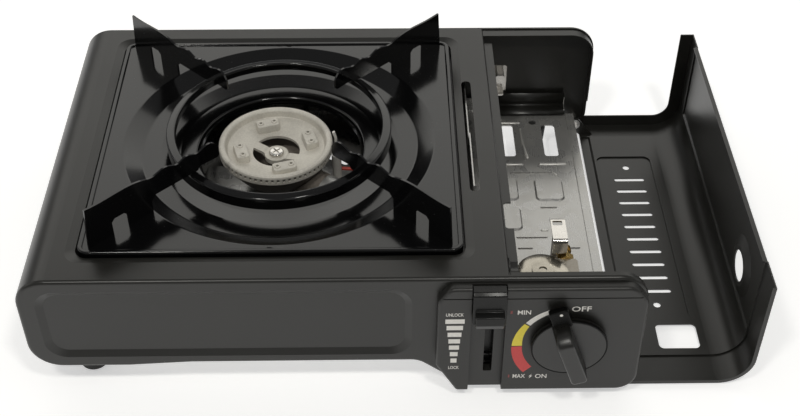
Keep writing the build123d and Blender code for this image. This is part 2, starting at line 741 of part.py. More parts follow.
with BuildPart() as burner_head:
    with BuildSketch(half_section(burner_x, burner_y)):
        with BuildLine():
            Polyline(
                (0, 75.0), (5.0, 75.0), (30.3, 80.5), (30.3, burner_top - 0.7), (31.0, burner_top),
                (33.4, burner_top), (head_r, burner_top - 0.9), (head_r, teeth_low), (30.8, teeth_low),
                (30.8, 78.2), (0, 72.2), close=True,
            )
        make_face()
    revolve(axis=vertical_axis(burner_x, burner_y))
    # four pairs of small ports in raised blocks
    for angle in boss_angles:
        turned = Plane(origin=(burner_x, burner_y, 76.6), z_dir=(0, 0, 1), x_dir=(math.cos(math.radians(angle)), math.sin(math.radians(angle)), 0))
        extrude(rounded(turned, (18.4, -6.6), (25.0, 6.6), 1.2), amount=boss_top - 76.6)
        with BuildSketch(turned.offset(boss_top - 76.6)):
            with Locations((21.7, -4.2), (21.7, 4.2)):
                Circle(1.9)
        extrude(amount=0.5)
        with BuildSketch(turned.offset(5)):
            with Locations((21.7, -4.2), (21.7, 4.2)):
                Circle(0.75)
        extrude(amount=-12, mode=Mode.SUBTRACT)
    # two crescent openings round the screw
    for start, end in [(-8, 128), (168, 262)]:
        with BuildSketch(level(90)):
            with Locations((burner_x, burner_y)):
                SlotArc(CenterArc((0, 0), 10.8, start + 14, end - start - 28), 7.4)
        extrude(amount=-20, mode=Mode.SUBTRACT)
    extrude(disc(level(90), burner_x, burner_y, 2.5), amount=-20, mode=Mode.SUBTRACT)
    # flame ports: notches under the rim
    with BuildSketch(level(teeth_low)):
        with Locations((burner_x, burner_y)):
            with PolarLocations(32.6, teeth):
                Rectangle(6.0, 1.5)
    extrude(amount=2.0, mode=Mode.SUBTRACT)
save(burner_head.part, "burner_head")

bracket_top = 50.0
bracket_t = 1.0
chamber = [(31.5, teeth_low), (29.6, 76.4), (21.2, 65.0), (9.0, 58.6), (6.0, 58.6)]  # radius and height

with BuildPart() as burner_base:
    with BuildSketch(half_section(burner_x, burner_y)):
        with BuildLine():
            Polyline(
                (0, bracket_top), (10.0, bracket_top), (10.0, 56.0), (23.0, 63.0), (32.0, 75.6), (33.6, teeth_low),
                *chamber, (6.0, 72.2), (0, 72.2), close=True,
            )
        make_face()
    revolve(axis=vertical_axis(burner_x, burner_y))
    # neck that takes the mixing tube
    with BuildSketch(across_jet(tube_end)):
        Circle(10.6)
    extrude(amount=16.0)
    # hollow inside the neck, and the open chamber above
    with BuildSketch(across_jet(tube_end)):
        Circle(7.8)
    extrude(amount=20.0, mode=Mode.SUBTRACT)
    with BuildSketch(half_section(burner_x, burner_y)):
        with BuildLine():
            Polyline((6.0, 90.0), (31.5, 90.0), *chamber, close=True)
        make_face()
    revolve(axis=vertical_axis(burner_x, burner_y), mode=Mode.SUBTRACT)
    extrude(disc(level(72.2), burner_x, burner_y, 2.5), amount=-14, mode=Mode.SUBTRACT)
save(burner_base.part, "burner_base")

with BuildPart() as burner_screw:
    with BuildSketch(level(75.0)):
        with Locations((burner_x, burner_y)):
            Circle(4.4)
    extrude(amount=2.4)
    fillet(burner_screw.faces().sort_by(Axis.Z)[-1].edges(), 1.4)
    extrude(disc(level(75.0), burner_x, burner_y, 2.5), amount=-15.0)
    with BuildSketch(level(80)):
        with Locations((burner_x, burner_y)):
            Rectangle(5.4, 1.0, rotation=40)
            Rectangle(1.0, 5.4, rotation=40)
    extrude(amount=-3.8, mode=Mode.SUBTRACT)
save(burner_screw.part, "burner_screw")

with BuildPart() as burner_bracket:
    with BuildSketch(upright(burner_y + 18)):
        foot_level = tray_top + bracket_t
        left_half = [(-70, foot_level), (-56, foot_level), (-46, bracket_top)]
        right_half = [(46, bracket_top), (56, foot_level), (70, foot_level)]
        with Locations((burner_x, 0)):
            add(strip(left_half + right_half, 3.0, bracket_t, Side.RIGHT))
    extrude(amount=36)
save(burner_bracket.part, "burner_bracket")

electrode_x, electrode_y = -34.6, 20.0

with BuildPart() as spark_electrode:
    with BuildLine():
        FilletPolyline(
            (electrode_x, electrode_y, bracket_top), (electrode_x, electrode_y, 83.0), (electrode_x - 1.2, electrode_y, 87.6),
            radius=3.0,
        )
    with BuildSketch(level(bracket_top)):
        with Locations((electrode_x, electrode_y)):
            Circle(0.9)
    sweep()
    extrude(disc(level(bracket_top), electrode_x, electrode_y, 3.0), amount=20.0)
save(spark_electrode.part, "spark_electrode")

lead_points = [
    (igniter_x, igniter_back, igniter_z), (igniter_x, -60.0, igniter_z), (104.0, -46.0, 29.0), (74.0, -42.0, 24.2),
    (shield_x, lead_hole[0], lead_hole[1]), (22.0, -37.0, 23.4), (4.0, -18.0, 25.0), (-1.0, 6.0, 38.0),
    (-8.0, 18.0, 52.0), (-20.0, electrode_y - 0.4, 58.0), (electrode_x + 3.05, electrode_y, 58.5),
]


def bend_radii(points):
    """Largest even bends that the runs of a wire leave room for."""
    runs = [Vector(*end) - Vector(*start) for start, end in zip(points, points[1:])]
    return [
        0.45 * min(first.length, second.length) / math.tan(math.radians(first.get_angle(second)) / 2)
        for first, second in zip(runs, runs[1:])
    ]


with BuildPart() as ignition_lead:
    with BuildLine():
        FilletPolyline(*lead_points, radius=bend_radii(lead_points))
    with BuildSketch(Plane(origin=lead_points[0], z_dir=(0, 1, 0))):
        Circle(1.1)
    sweep()
save(ignition_lead.part, "ignition_lead")

# ---------------------------------------------------------------- drip pan
# Enamelled tray with a beaded border, a stepped round dish and a hole for the burner.
pan_w = well_w - 1.6
pan_d = well_d - 1.6
dish_path = [(95.6, pan_top), (93.3, pan_top), (82.5, 82.0), (59.0, 82.0), (49.0, 78.0), (48.0, 79.4)]

with BuildPart() as drip_pan:
    extrude(well_outline(well_floor, pan_w, pan_d, 6), amount=pan_top - well_floor)
    extrude(well_outline(well_floor, pan_w - 1.6, pan_d - 1.6, 5.2), amount=pan_top - sheet - well_floor, mode=Mode.SUBTRACT)
    with BuildSketch(level(pan_top)):
        with Locations((pan_x, pan_y)):
            RectangleRounded(pan_w, pan_d, 6)
            RectangleRounded(pan_w - 5.6, pan_d - 5.6, 3.2, mode=Mode.SUBTRACT)
    extrude(amount=1.0)
    fillet(drip_pan.faces().sort_by(Axis.Z)[-1].edges(), 0.45)
    extrude(disc(level(pan_top + 3), pan_x, pan_y, 94.6), amount=-8, mode=Mode.SUBTRACT)
    with BuildSketch(half_section(pan_x, pan_y)):
        add(strip(dish_path, [2.5, 2.5, 3.0, 0.3], sheet, Side.LEFT))
    revolve(axis=vertical_axis(pan_x, pan_y))
save(drip_pan.part, "drip_pan")

# ---------------------------------------------------------------- pan support
# A rolled ring carried by four upright legs that stand on the pan's border.
ring_inner = 63.4
ring_low = 89.4

with BuildPart() as support_ring:
    with BuildSketch(half_section(pan_x, pan_y)):
        roll = [(ring_r, ring_low), (ring_r, ring_top), (ring_inner, ring_top), (ring_inner, ring_low + 3)]
        add(strip(roll, [1.2, 1.2], sheet, Side.LEFT))
    revolve(axis=vertical_axis(pan_x, pan_y))
save(support_ring.part, "support_ring")

leg_t = 1.2
leg_bottom = pan_top
leg_crest = [(45.2, 106.5), (54.0, 111.9), (60.9, 110.2), (66.8, 112.2), (73.6, 110.2), (81.0, 112.7), (90.3, 110.9), (98.0, 112.5), (124.7, 113.4), (135.0, 113.9)]
leg_rest = [
    (137.0, leg_bottom), (120.3, leg_bottom), (120.3, 95.7), (118.3, 97.7), (112.0, 97.7), (110.0, 95.7),
    (110.0, leg_bottom), (93.6, leg_bottom), (93.6, 95.0), (90.4, ring_top), (60.9, ring_top),
    (58.9, 100.6), (46.6, 99.8), (45.2, 101.2),
]
for number, angle in enumerate([leg_angle, 180 - leg_angle, 180 + leg_angle, 360 - leg_angle], 1):
    outward = (math.cos(math.radians(angle)), math.sin(math.radians(angle)), 0)
    across = (math.sin(math.radians(angle)), -math.cos(math.radians(angle)), 0)
    with BuildPart() as support_leg:
        with BuildSketch(Plane(origin=(pan_x, pan_y, 0), x_dir=outward, z_dir=across)):
            with BuildLine():
                Spline(*leg_crest)
                Polyline(leg_crest[-1], *leg_rest, leg_crest[0])
            make_face()
        extrude(amount=leg_t / 2, both=True)
    save(support_leg.part, f"support_leg_{number}")

# ---------------------------------------------------------------- cartridge lid
# L-shaped cover, here open: flat on the table beside the body, with its wall upright on the right.
field_front, field_rear = -85.4, 118.0
lid_edge = [(lid_edge_x, lid_under), (lid_out_x, lid_under), (lid_out_x, lid_tip_z)]
lid_field = [
    (lid_edge_x, lid_under), (140.0, lid_under), (141.0, lid_under + 1), (lid_out_x - 1, lid_under + 1),
    (lid_out_x - 1, 22.0), (lid_out_x, 23.5), (lid_out_x, lid_tip_z), (lid_out_x - 3, lid_tip_z),
]
lid_field_radii = [0.3, 0.3, lid_bend_r - 1, 0.3, 0.3, 1.0]
wall_hole = (-52.0, 42.2)  # Y and Z of the finger hole
recess = ((142.3, -57.9), (179.6, 96.2))

with BuildPart() as cartridge_lid:
    with BuildSketch(upright(field_front)):
        add(strip(lid_edge, lid_bend_r, sheet, Side.LEFT))
    extrude(amount=field_front - lid_front_y)
    with BuildSketch(upright(lid_rear_y)):
        add(strip(lid_edge, lid_bend_r, sheet, Side.LEFT))
    extrude(amount=lid_rear_y - field_rear)
    with BuildSketch(upright(field_rear)):
        add(strip(lid_field, lid_field_radii, sheet, Side.LEFT))
    extrude(amount=field_rear - field_front)
    # steps at both ends of the raised field
    for step_y in (field_front, field_rear + sheet):
        with BuildSketch(upright(step_y)):
            add(strip(lid_edge, lid_bend_r, 1.0 + sheet, Side.LEFT))
        extrude(amount=sheet)
    # turned flanges at the front and rear
    with BuildSketch(upright(lid_front_y + sheet)):
        add(strip(lid_edge, lid_bend_r, 2.4, Side.LEFT))
    extrude(amount=sheet)
    with BuildSketch(upright(lid_rear_y)):
        add(strip(lid_edge, lid_bend_r, 9.0, Side.LEFT))
    extrude(amount=sheet)
    # sunk panel with a row of slots
    low_out = (recess[0][0] - sheet, recess[0][1] - sheet)
    high_out = (recess[1][0] + sheet, recess[1][1] + sheet)
    extrude(rounded(level(lid_under), low_out, high_out, 5 + sheet), amount=1.0 + sheet)
    extrude(rounded(level(lid_under + sheet), *recess, 5), amount=3, mode=Mode.SUBTRACT)
    with BuildSketch(level(5)):
        with Locations(*[(162.4, 72.7 - 11.73 * i) for i in range(10)]):
            SlotOverall(20.5, 3.0)
        with Locations((162.0, 85.4), (162.0, -44.6)):
            Circle(2.25)
        with Locations((169.7, -71.4)):
            RectangleRounded(24.4, 19.3, 3.0)
    extrude(amount=-6, mode=Mode.SUBTRACT)
    # finger hole in a dished surround
    loft([disc(sideways(lid_out_x - sheet), *wall_hole, 18.6), disc(sideways(lid_out_x - sheet - 2), *wall_hole, 12.4)])
    loft([disc(sideways(lid_out_x), *wall_hole, 17.8), disc(sideways(lid_out_x - 2), *wall_hole, 11.6)], mode=Mode.SUBTRACT)
    extrude(disc(sideways(lid_out_x + 1), *wall_hole, 9.5), amount=-6, mode=Mode.SUBTRACT)
    # ears that turn on the hinge pins
    for ear_y in (ear_front_y, ear_rear_y):
        with BuildSketch(upright(ear_y)):
            with Locations((hinge_x, hinge_z)):
                Circle(4.6)
            with Locations((lid_edge_x + 5, lid_under + sheet / 2)):
                Rectangle(8.0, sheet)
            make_hull()
            with Locations((hinge_x, hinge_z)):
                Circle(hinge_r + running, mode=Mode.SUBTRACT)
        extrude(amount=-ear_t)
save(cartridge_lid.part, "cartridge_lid")

# ---------------------------------------------------------------- hinge pins
front_pin_end = rail_tabs[0] + sheet
rear_pin_end = rail_tabs[1]

with BuildPart() as hinge_pin_front:
    extrude(disc(upright(front_y - 1.5), hinge_x, hinge_z, 3.4), amount=-1.5)
    extrude(disc(upright(front_y), hinge_x, hinge_z, hinge_r), amount=-(front_pin_end - front_y))
save(hinge_pin_front.part, "hinge_pin_front")

with BuildPart() as hinge_pin_rear:
    extrude(disc(upright(rear_y + 1.1), hinge_x, hinge_z, 4.0), amount=1.1)
    extrude(disc(upright(rear_y), hinge_x, hinge_z, hinge_r), amount=rear_y - rear_pin_end)
save(hinge_pin_rear.part, "hinge_pin_rear")

# ---------------------------------------------------------------- locating tab at the rear of the bay
with BuildPart() as locating_tab:
    extrude(rounded(upright(rear_y - sheet), (70.0, 30.0), (80.0, 56.0), 1.5), amount=1.0)
    extrude(rounded(upright(rear_y - sheet - 1.0), (72.0, 35.0), (78.0, 52.0), 1.5), amount=6.5)
    with BuildSketch(sideways(82)):
        with Locations((rear_y - sheet - 4.5, 43.5)):
            Rectangle(6.4, 14.6)
    extrude(amount=-12, mode=Mode.SUBTRACT)
save(locating_tab.part, "locating_tab")

# ---------------------------------------------------------------- rubber feet
foot_tops = {foot_x[0]: under_z, foot_x[1]: tray_z}
foot_number = 0
for x in foot_x:
    for y in foot_y:
        foot_number += 1
        top = foot_tops[x]
        with BuildPart() as rubber_foot:
            with BuildSketch(half_section(x, y)):
                with BuildLine():
                    Polyline((0, 0), (6.4, 0))
                    ThreePointArc((6.4, 0), (7.7, 0.6), (8.2, 2.0))
                    Polyline((8.2, 2.0), (9.2, top - 2.5), (9.2, top), (0, top), (0, 0))
                make_face()
            revolve(axis=vertical_axis(x, y))
        save(rubber_foot.part, f"rubber_foot_{foot_number}")

# ---------------------------------------------------------------- screws
head_radius = 3.0
head_high = 1.8

with BuildPart() as body_screws:
    for x, z in panel_screws:
        extrude(disc(upright(rear_y + head_high), x, z, head_radius), amount=head_high)
        extrude(disc(upright(rear_y), x, z, screw_r), amount=8.0)
    for x, z in panel_screws[:2]:
        extrude(disc(upright(tray_front + sheet), x, z, head_radius), amount=-head_high)
        extrude(disc(upright(front_y), x, z, screw_r), amount=-(tray_front + sheet - front_y))
    for x, z in box_screws:
        extrude(disc(upright(front_y + sheet), x, z, head_radius), amount=-head_high)
        extrude(disc(upright(front_y - 4.0), x, z, screw_r), amount=-(4.0 + sheet))
save(body_screws.part, "body_screws")
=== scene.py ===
import bpy
import bmesh
import json
import math
import numpy as np
from mathutils import Matrix, Vector


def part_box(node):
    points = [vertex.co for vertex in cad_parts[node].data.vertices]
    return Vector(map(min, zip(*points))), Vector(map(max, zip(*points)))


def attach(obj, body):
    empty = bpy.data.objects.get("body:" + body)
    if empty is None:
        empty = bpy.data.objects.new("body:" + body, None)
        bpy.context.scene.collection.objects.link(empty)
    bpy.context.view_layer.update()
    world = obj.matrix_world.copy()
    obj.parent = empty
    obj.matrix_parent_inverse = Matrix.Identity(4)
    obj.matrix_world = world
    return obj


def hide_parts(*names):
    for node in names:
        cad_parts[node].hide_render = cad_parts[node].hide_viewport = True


mm = 0.001
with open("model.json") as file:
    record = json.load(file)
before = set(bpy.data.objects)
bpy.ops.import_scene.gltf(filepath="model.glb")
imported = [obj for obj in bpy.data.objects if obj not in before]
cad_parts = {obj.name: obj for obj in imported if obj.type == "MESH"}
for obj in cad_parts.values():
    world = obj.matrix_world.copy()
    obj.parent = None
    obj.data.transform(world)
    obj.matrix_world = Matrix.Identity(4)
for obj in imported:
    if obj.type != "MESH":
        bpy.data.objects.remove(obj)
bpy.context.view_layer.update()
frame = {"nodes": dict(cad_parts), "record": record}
print("frame loaded:", len(frame["nodes"]), "nodes")


# a shader socket that turns Python arithmetic into Math nodes
class Sock:
    def __init__(self, paint, socket):
        self.paint = paint
        self.socket = socket

    def math(self, operation, first, second, clamp=False):
        settings = {"operation": operation, "use_clamp": clamp}
        return self.paint.node("ShaderNodeMath", settings, [first, second])

    def __add__(self, other):
        return self.math("ADD", self, other)

    def __radd__(self, other):
        return self.math("ADD", other, self)

    def __sub__(self, other):
        return self.math("SUBTRACT", self, other)

    def __mul__(self, other):
        return self.math("MULTIPLY", self, other)

    # held between 0 and 1
    def clamped(self):
        return self.math("ADD", self, 0.0, clamp=True)

    # 0 below low, 1 above high, smooth between
    def step(self, low, high):
        settings = {"interpolation_type": "SMOOTHSTEP"}
        values = {"Value": self, "From Min": low, "From Max": high}
        return self.paint.node("ShaderNodeMapRange", settings, values)


# a material whose fixed values go straight to the shader's own sockets
class Paint:
    def __init__(self, name, fixed):
        self.material = bpy.data.materials.new(name)
        self.material.use_nodes = True
        self.tree = self.material.node_tree
        self.shader = self.tree.nodes["Principled BSDF"]
        for socket, value in fixed.items():
            self.shader.inputs[socket].default_value = value

    # a new node with its settings, and its inputs given by name or in order
    def node(self, kind, settings, values, output=0):
        made = self.tree.nodes.new(kind)
        for key, value in settings.items():
            setattr(made, key, value)
        pairs = values.items() if isinstance(values, dict) else enumerate(values)
        for key, value in pairs:
            self.feed(made.inputs[key], value)
        return Sock(self, made.outputs[output])

    def feed(self, target, value):
        if isinstance(value, Sock):
            self.tree.links.new(value.socket, target)
        else:
            target.default_value = value

    def put(self, socket, value):
        self.feed(self.shader.inputs[socket], value)

    def coords(self):
        return self.node("ShaderNodeTexCoord", {}, {}, "Object")

    def stretched(self, scale):
        return self.node("ShaderNodeMapping", {}, {"Vector": self.coords(), "Scale": scale})

    def noise(self, scale, detail, where=None):
        values = {"Vector": where or self.coords(), "Scale": scale, "Detail": detail}
        return self.node("ShaderNodeTexNoise", {}, values)

    # inputs 0, 6 and 7 of the node are the factor and the two colours, output 2 is the mixed one
    def mix(self, factor, first, second):
        values = {0: factor, 6: first, 7: second}
        return self.node("ShaderNodeMix", {"data_type": "RGBA"}, values, 2)

    # a height of 0 to 1 stands for 0 to distance metres
    def bump(self, height, distance, strength=1.0):
        values = {"Strength": strength, "Distance": distance, "Height": height}
        self.put("Normal", self.node("ShaderNodeBump", {}, values))


# satin coat: slow patches and a fine grain mix two tones, spread the gloss and raise an orange peel
def coatPaint(name, look):
    glossSpread = 0.10
    paint = Paint(name, {"Metallic": 0.0, "IOR": 1.5, "Specular IOR Level": look["sheen"]})
    slow = paint.noise(look["patchScale"], 4.0)
    fine = paint.noise(look["grainScale"], 2.0)
    tone = (slow - 0.5) * look["patchTone"] + (fine - 0.5) * look["grainTone"] + 0.5
    paint.put("Base Color", paint.mix(tone.clamped(), look["dark"], look["light"]))
    paint.put("Roughness", look["roughness"] + (slow - 0.5) * glossSpread + (fine - 0.5) * glossSpread)
    paint.bump(fine + slow * 0.5, look["grainHeight"])
    return paint.material


# scales count per metre, heights are metres
bodyCoat = {
    "dark": (0.0085, 0.0083, 0.0070, 1), "light": (0.0165, 0.0160, 0.0138, 1),
    "patchScale": 14.0, "patchTone": 0.9, "grainScale": 1900.0, "grainTone": 0.9, "grainHeight": 0.000012,
    "roughness": 0.33, "sheen": 0.5,
}
mouldedBlack = {
    "dark": (0.010, 0.0097, 0.0085, 1), "light": (0.0165, 0.016, 0.0142, 1),
    "patchScale": 30.0, "patchTone": 0.6, "grainScale": 2600.0, "grainTone": 0.8, "grainHeight": 0.000012,
    "roughness": 0.40, "sheen": 0.5,
}
knobBlack = {
    "dark": (0.010, 0.0097, 0.0087, 1), "light": (0.0155, 0.015, 0.0135, 1),
    "patchScale": 40.0, "patchTone": 0.6, "grainScale": 2600.0, "grainTone": 0.6, "grainHeight": 0.00001,
    "roughness": 0.30, "sheen": 0.5,
}
leverBlack = {
    "dark": (0.0028, 0.0028, 0.0026, 1), "light": (0.0052, 0.0051, 0.0047, 1),
    "patchScale": 40.0, "patchTone": 0.6, "grainScale": 2600.0, "grainTone": 0.6, "grainHeight": 0.000005,
    "roughness": 0.26, "sheen": 0.3,
}
pointerBlack = dict(leverBlack, roughness=0.3, sheen=0.1)
rubberBlack = {
    "dark": (0.010, 0.010, 0.010, 1), "light": (0.020, 0.020, 0.019, 1),
    "patchScale": 60.0, "patchTone": 0.8, "grainScale": 3000.0, "grainTone": 0.6, "grainHeight": 0.00003,
    "roughness": 0.72, "sheen": 0.5,
}


# glossy enamel: slightly wavy glass with fine dust, which is paler and rougher
def enamelPaint(name, look):
    paint = Paint(name, {"Metallic": 0.0, "IOR": 1.5, "Coat Roughness": 0.04})
    wave = paint.noise(look["waveScale"], 2.0)
    dust = paint.noise(look["dustScale"], 5.0).step(*look["dustFrom"])
    paint.put("Base Color", paint.mix(dust * look["dustShare"], look["glass"], look["dust"]))
    paint.put("Roughness", look["roughness"] + dust * look["dustRoughness"] + (wave - 0.5) * look["spread"])
    paint.put("Coat Weight", look["coat"] + (wave - 0.5) * look["spread"])
    paint.bump(wave, look["waveHeight"], 0.4)
    return paint.material


blackEnamel = {
    "glass": (0.0022, 0.0022, 0.0024, 1), "dust": (0.04, 0.038, 0.035, 1), "dustScale": 900.0,
    "dustFrom": (0.66, 0.74), "dustShare": 0.2, "dustRoughness": 0.2, "waveScale": 34.0,
    "waveHeight": 0.00012, "roughness": 0.13, "coat": 0.03, "spread": 0.05,
}


# die casting: a fine grain and slower patches mix two tones, the grain roughens and raises it
def castPaint(name, look):
    grainTone, patchTone = 0.9, 1.2
    glossSpread, metalSpread = 0.2, 0.1
    paint = Paint(name, {"IOR": 1.5})
    grain = paint.noise(look["grainScale"], 4.0)
    patch = paint.noise(look["patchScale"], 3.0)
    tone = (grain - 0.5) * grainTone + (patch - 0.5) * patchTone + 0.5
    paint.put("Base Color", paint.mix(tone.clamped(), look["dark"], look["light"]))
    paint.put("Roughness", look["roughness"] + (grain - 0.5) * glossSpread)
    paint.put("Metallic", look["metallic"] + (patch - 0.5) * metalSpread)
    paint.bump(grain, look["grainHeight"], 0.8)
    return paint.material


burnerCast = {
    "dark": (0.44, 0.42, 0.375, 1), "light": (0.72, 0.69, 0.62, 1), "grainScale": 900.0, "patchScale": 60.0,
    "roughness": 0.55, "metallic": 0.25, "grainHeight": 0.00006,
}
baseCast = {
    "dark": (0.10, 0.085, 0.07, 1), "light": (0.24, 0.21, 0.18, 1), "grainScale": 700.0, "patchScale": 50.0,
    "roughness": 0.6, "metallic": 0.3, "grainHeight": 0.00008,
}
regulatorCast = {
    "dark": (0.22, 0.20, 0.17, 1), "light": (0.40, 0.37, 0.32, 1), "grainScale": 800.0, "patchScale": 80.0,
    "roughness": 0.36, "metallic": 0.75, "grainHeight": 0.00003,
}
capCast = {
    "dark": (0.26, 0.24, 0.20, 1), "light": (0.46, 0.43, 0.37, 1), "grainScale": 800.0, "patchScale": 80.0,
    "roughness": 0.2, "metallic": 0.95, "grainHeight": 0.00003,
}
aluminium = {
    "dark": (0.38, 0.38, 0.37, 1), "light": (0.58, 0.58, 0.56, 1), "grainScale": 900.0, "patchScale": 60.0,
    "roughness": 0.38, "metallic": 0.9, "grainHeight": 0.00003,
}


# bright metal: spangle cells that differ a little in tone and gloss, and fine lines rolled along Y
def sheetMetalPaint(name, look):
    rolledScale = (1400.0, 60.0, 1400.0)
    rolledTone, glossSpread, metalSpread = 0.5, 0.10, 0.05
    paint = Paint(name, {"IOR": 1.5})
    rolled = paint.noise(1.0, 3.0, paint.stretched(rolledScale))
    cellValues = {"Vector": paint.coords(), "Scale": look["cellScale"]}
    cells = paint.node("ShaderNodeTexVoronoi", {}, cellValues, "Color")
    cell = paint.node("ShaderNodeSeparateColor", {}, [cells])
    tone = (cell - 0.5) * look["cellTone"] + (rolled - 0.5) * rolledTone + 0.5
    paint.put("Base Color", paint.mix(tone.clamped(), look["dark"], look["light"]))
    paint.put("Roughness", look["roughness"] + (cell - 0.5) * glossSpread + (rolled - 0.5) * glossSpread)
    paint.put("Metallic", look["metallic"] + (cell - 0.5) * metalSpread)
    paint.bump(rolled, 0.00001, 0.6)
    return paint.material


galvanised = {
    "dark": (0.36, 0.36, 0.36, 1), "light": (0.52, 0.51, 0.48, 1), "cellScale": 160.0, "cellTone": 0.35,
    "roughness": 0.30, "metallic": 0.68,
}
# a lighter copy of the galvanised sheet, its extra brightness a painted highlight
litGalvanisedSheet = {
    "dark": (0.62, 0.61, 0.58, 1), "light": (0.80, 0.79, 0.75, 1), "cellScale": 160.0, "cellTone": 0.3,
    "roughness": 0.36, "metallic": 0.55,
}
plated = {
    "dark": (0.45, 0.43, 0.40, 1), "light": (0.78, 0.76, 0.72, 1), "cellScale": 500.0, "cellTone": 0.3,
    "roughness": 0.2, "metallic": 0.95,
}
turnedBrass = {
    "dark": (0.42, 0.28, 0.08, 1), "light": (0.70, 0.50, 0.20, 1), "cellScale": 600.0, "cellTone": 0.3,
    "roughness": 0.24, "metallic": 1.0,
}


# moulded or glazed in one colour with a faint grain
def plainPaint(name, dark, light, roughness):
    paint = Paint(name, {"IOR": 1.5})
    grain = paint.noise(1500.0, 3.0)
    paint.put("Base Color", paint.mix(grain, dark, light))
    paint.put("Roughness", roughness + (grain - 0.5) * 0.1)
    paint.bump(grain, 0.00001, 0.5)
    return paint.material


# screen-printed ink: slightly uneven cover
def inkPaint(name, dark, light):
    paint = Paint(name, {"IOR": 1.48})
    cover = paint.noise(900.0, 3.0)
    paint.put("Base Color", paint.mix(cover, dark, light))
    paint.put("Roughness", 0.48 + (cover - 0.5) * 0.15)
    paint.bump(cover, 0.00001, 0.4)
    return paint.material


finishes = {
    "body_coating": coatPaint("powderCoat", bodyCoat),
    "moulded_black": coatPaint("mouldedBlack", mouldedBlack),
    "knob_black": coatPaint("knobBlack", knobBlack),
    "lever_black": coatPaint("leverBlack", leverBlack),
    "pointer_black": coatPaint("pointerBlack", pointerBlack),
    "rubber": coatPaint("rubberBlack", rubberBlack),
    "enamel": enamelPaint("glossyEnamel", blackEnamel),
    "burner_alloy": castPaint("burnerCast", burnerCast),
    "burner_base_alloy": castPaint("baseCast", baseCast),
    "zinc_casting": castPaint("regulatorCast", regulatorCast),
    "cap_casting": castPaint("capCast", capCast),
    "tube_aluminium": castPaint("tubeAluminium", aluminium),
    "galvanised": sheetMetalPaint("galvanisedSheet", galvanised),
    "bright_sheet": sheetMetalPaint("litGalvanisedSheet", litGalvanisedSheet),
    "plated_steel": sheetMetalPaint("platedSteel", plated),
    "brass": sheetMetalPaint("turnedBrass", turnedBrass),
    "igniter_plastic": plainPaint("igniterPlastic", (0.42, 0.40, 0.33, 1), (0.55, 0.53, 0.45, 1), 0.35),
    "lead_insulation": plainPaint("leadInsulation", (0.34, 0.03, 0.02, 1), (0.5, 0.05, 0.03, 1), 0.45),
    "ceramic": plainPaint("ceramicSleeve", (0.62, 0.60, 0.55, 1), (0.78, 0.76, 0.72, 1), 0.25),
}
inks = {
    "white": inkPaint("whiteInk", (0.60, 0.58, 0.54, 1), (0.76, 0.74, 0.70, 1)),
    "yellow": inkPaint("yellowInk", (0.62, 0.50, 0.03, 1), (0.72, 0.60, 0.06, 1)),
    "red": inkPaint("redInk", (0.45, 0.035, 0.035, 1), (0.58, 0.06, 0.055, 1)),
    "dullRed": inkPaint("dullRedInk", (0.16, 0.03, 0.03, 1), (0.22, 0.045, 0.04, 1)),
}
print("materials made:", len(finishes) + len(inks))


def dress(piece, material):
    piece.data.materials.clear()
    piece.data.materials.append(material)


slotOfNode = {row["node"]: row["material_slot"] for row in frame["record"]["subparts"]}
# the lock slide takes the black lever finish in place of its record slot's: painted shade in the lever's slot
finishOverride = {"lock_slide": "lever_black", "body_screws": "body_coating", "regulator_cap": "cap_casting"}
for nodeName, node in frame["nodes"].items():
    dress(node, finishes[finishOverride.get(nodeName, slotOfNode[nodeName])])
print("CAD nodes painted")


# a mesh becomes a piece that rides with a body
def linkPiece(name, mesh, body):
    piece = bpy.data.objects.new(name, mesh)
    bpy.context.scene.collection.objects.link(piece)
    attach(piece, body)
    return piece


# a piece from vertices in metres and faces; its place is in its mesh
def makePiece(name, verts, faces, body, material, smooth=True):
    mesh = bpy.data.meshes.new(name)
    mesh.from_pydata(np.asarray(verts, float).tolist(), [], faces)
    mesh.update()
    mesh.polygons.foreach_set("use_smooth", [smooth] * len(mesh.polygons))
    mesh.materials.append(material)
    return linkPiece(name, mesh, body)


# quads between the rows of a grid of points; vertex number = row times columns plus column
def gridFaces(rows, columns, closedRows=False, closedColumns=False):
    row = np.arange(rows if closedRows else rows - 1)[:, None]
    column = np.arange(columns if closedColumns else columns - 1)[None, :]
    nextRow = (row + 1) % rows
    nextColumn = (column + 1) % columns
    corners = [(row, column), (row, nextColumn), (nextRow, nextColumn), (nextRow, column)]
    return np.stack([down * columns + side for down, side in corners], -1).reshape(-1, 4).tolist()


# each vector divided by its length
def unit(vectors):
    return vectors / np.linalg.norm(vectors, axis=-1, keepdims=True)


# (cos, sin) of each angle times the radius, plus the middle
def circlePoints(radius, turn, middle=(0.0, 0.0)):
    return np.stack([np.cos(turn), np.sin(turn)], -1) * radius + middle


def circle(radius, count, middle=(0.0, 0.0)):
    return circlePoints(radius, np.linspace(0, 2 * math.pi, count, endpoint=False), middle)


# directions in the plane turned a quarter to the right: (x, y) becomes (y, -x)
def toTheRight(along):
    return np.stack([along[:, 1], -along[:, 0]], -1)


# normals of a closed anticlockwise outline, from the points on both sides of each
def outwardNormals(outline):
    return toTheRight(unit(np.roll(outline, -1, 0) - np.roll(outline, 1, 0)))


# an open line moved to its right by a sheet's thickness
def offsetLine(line, sheet):
    return line + toTheRight(unit(np.gradient(line, axis=0))) * sheet


arcGuard = 0.15  # a point this far before and after each arc keeps the shading of the straights flat


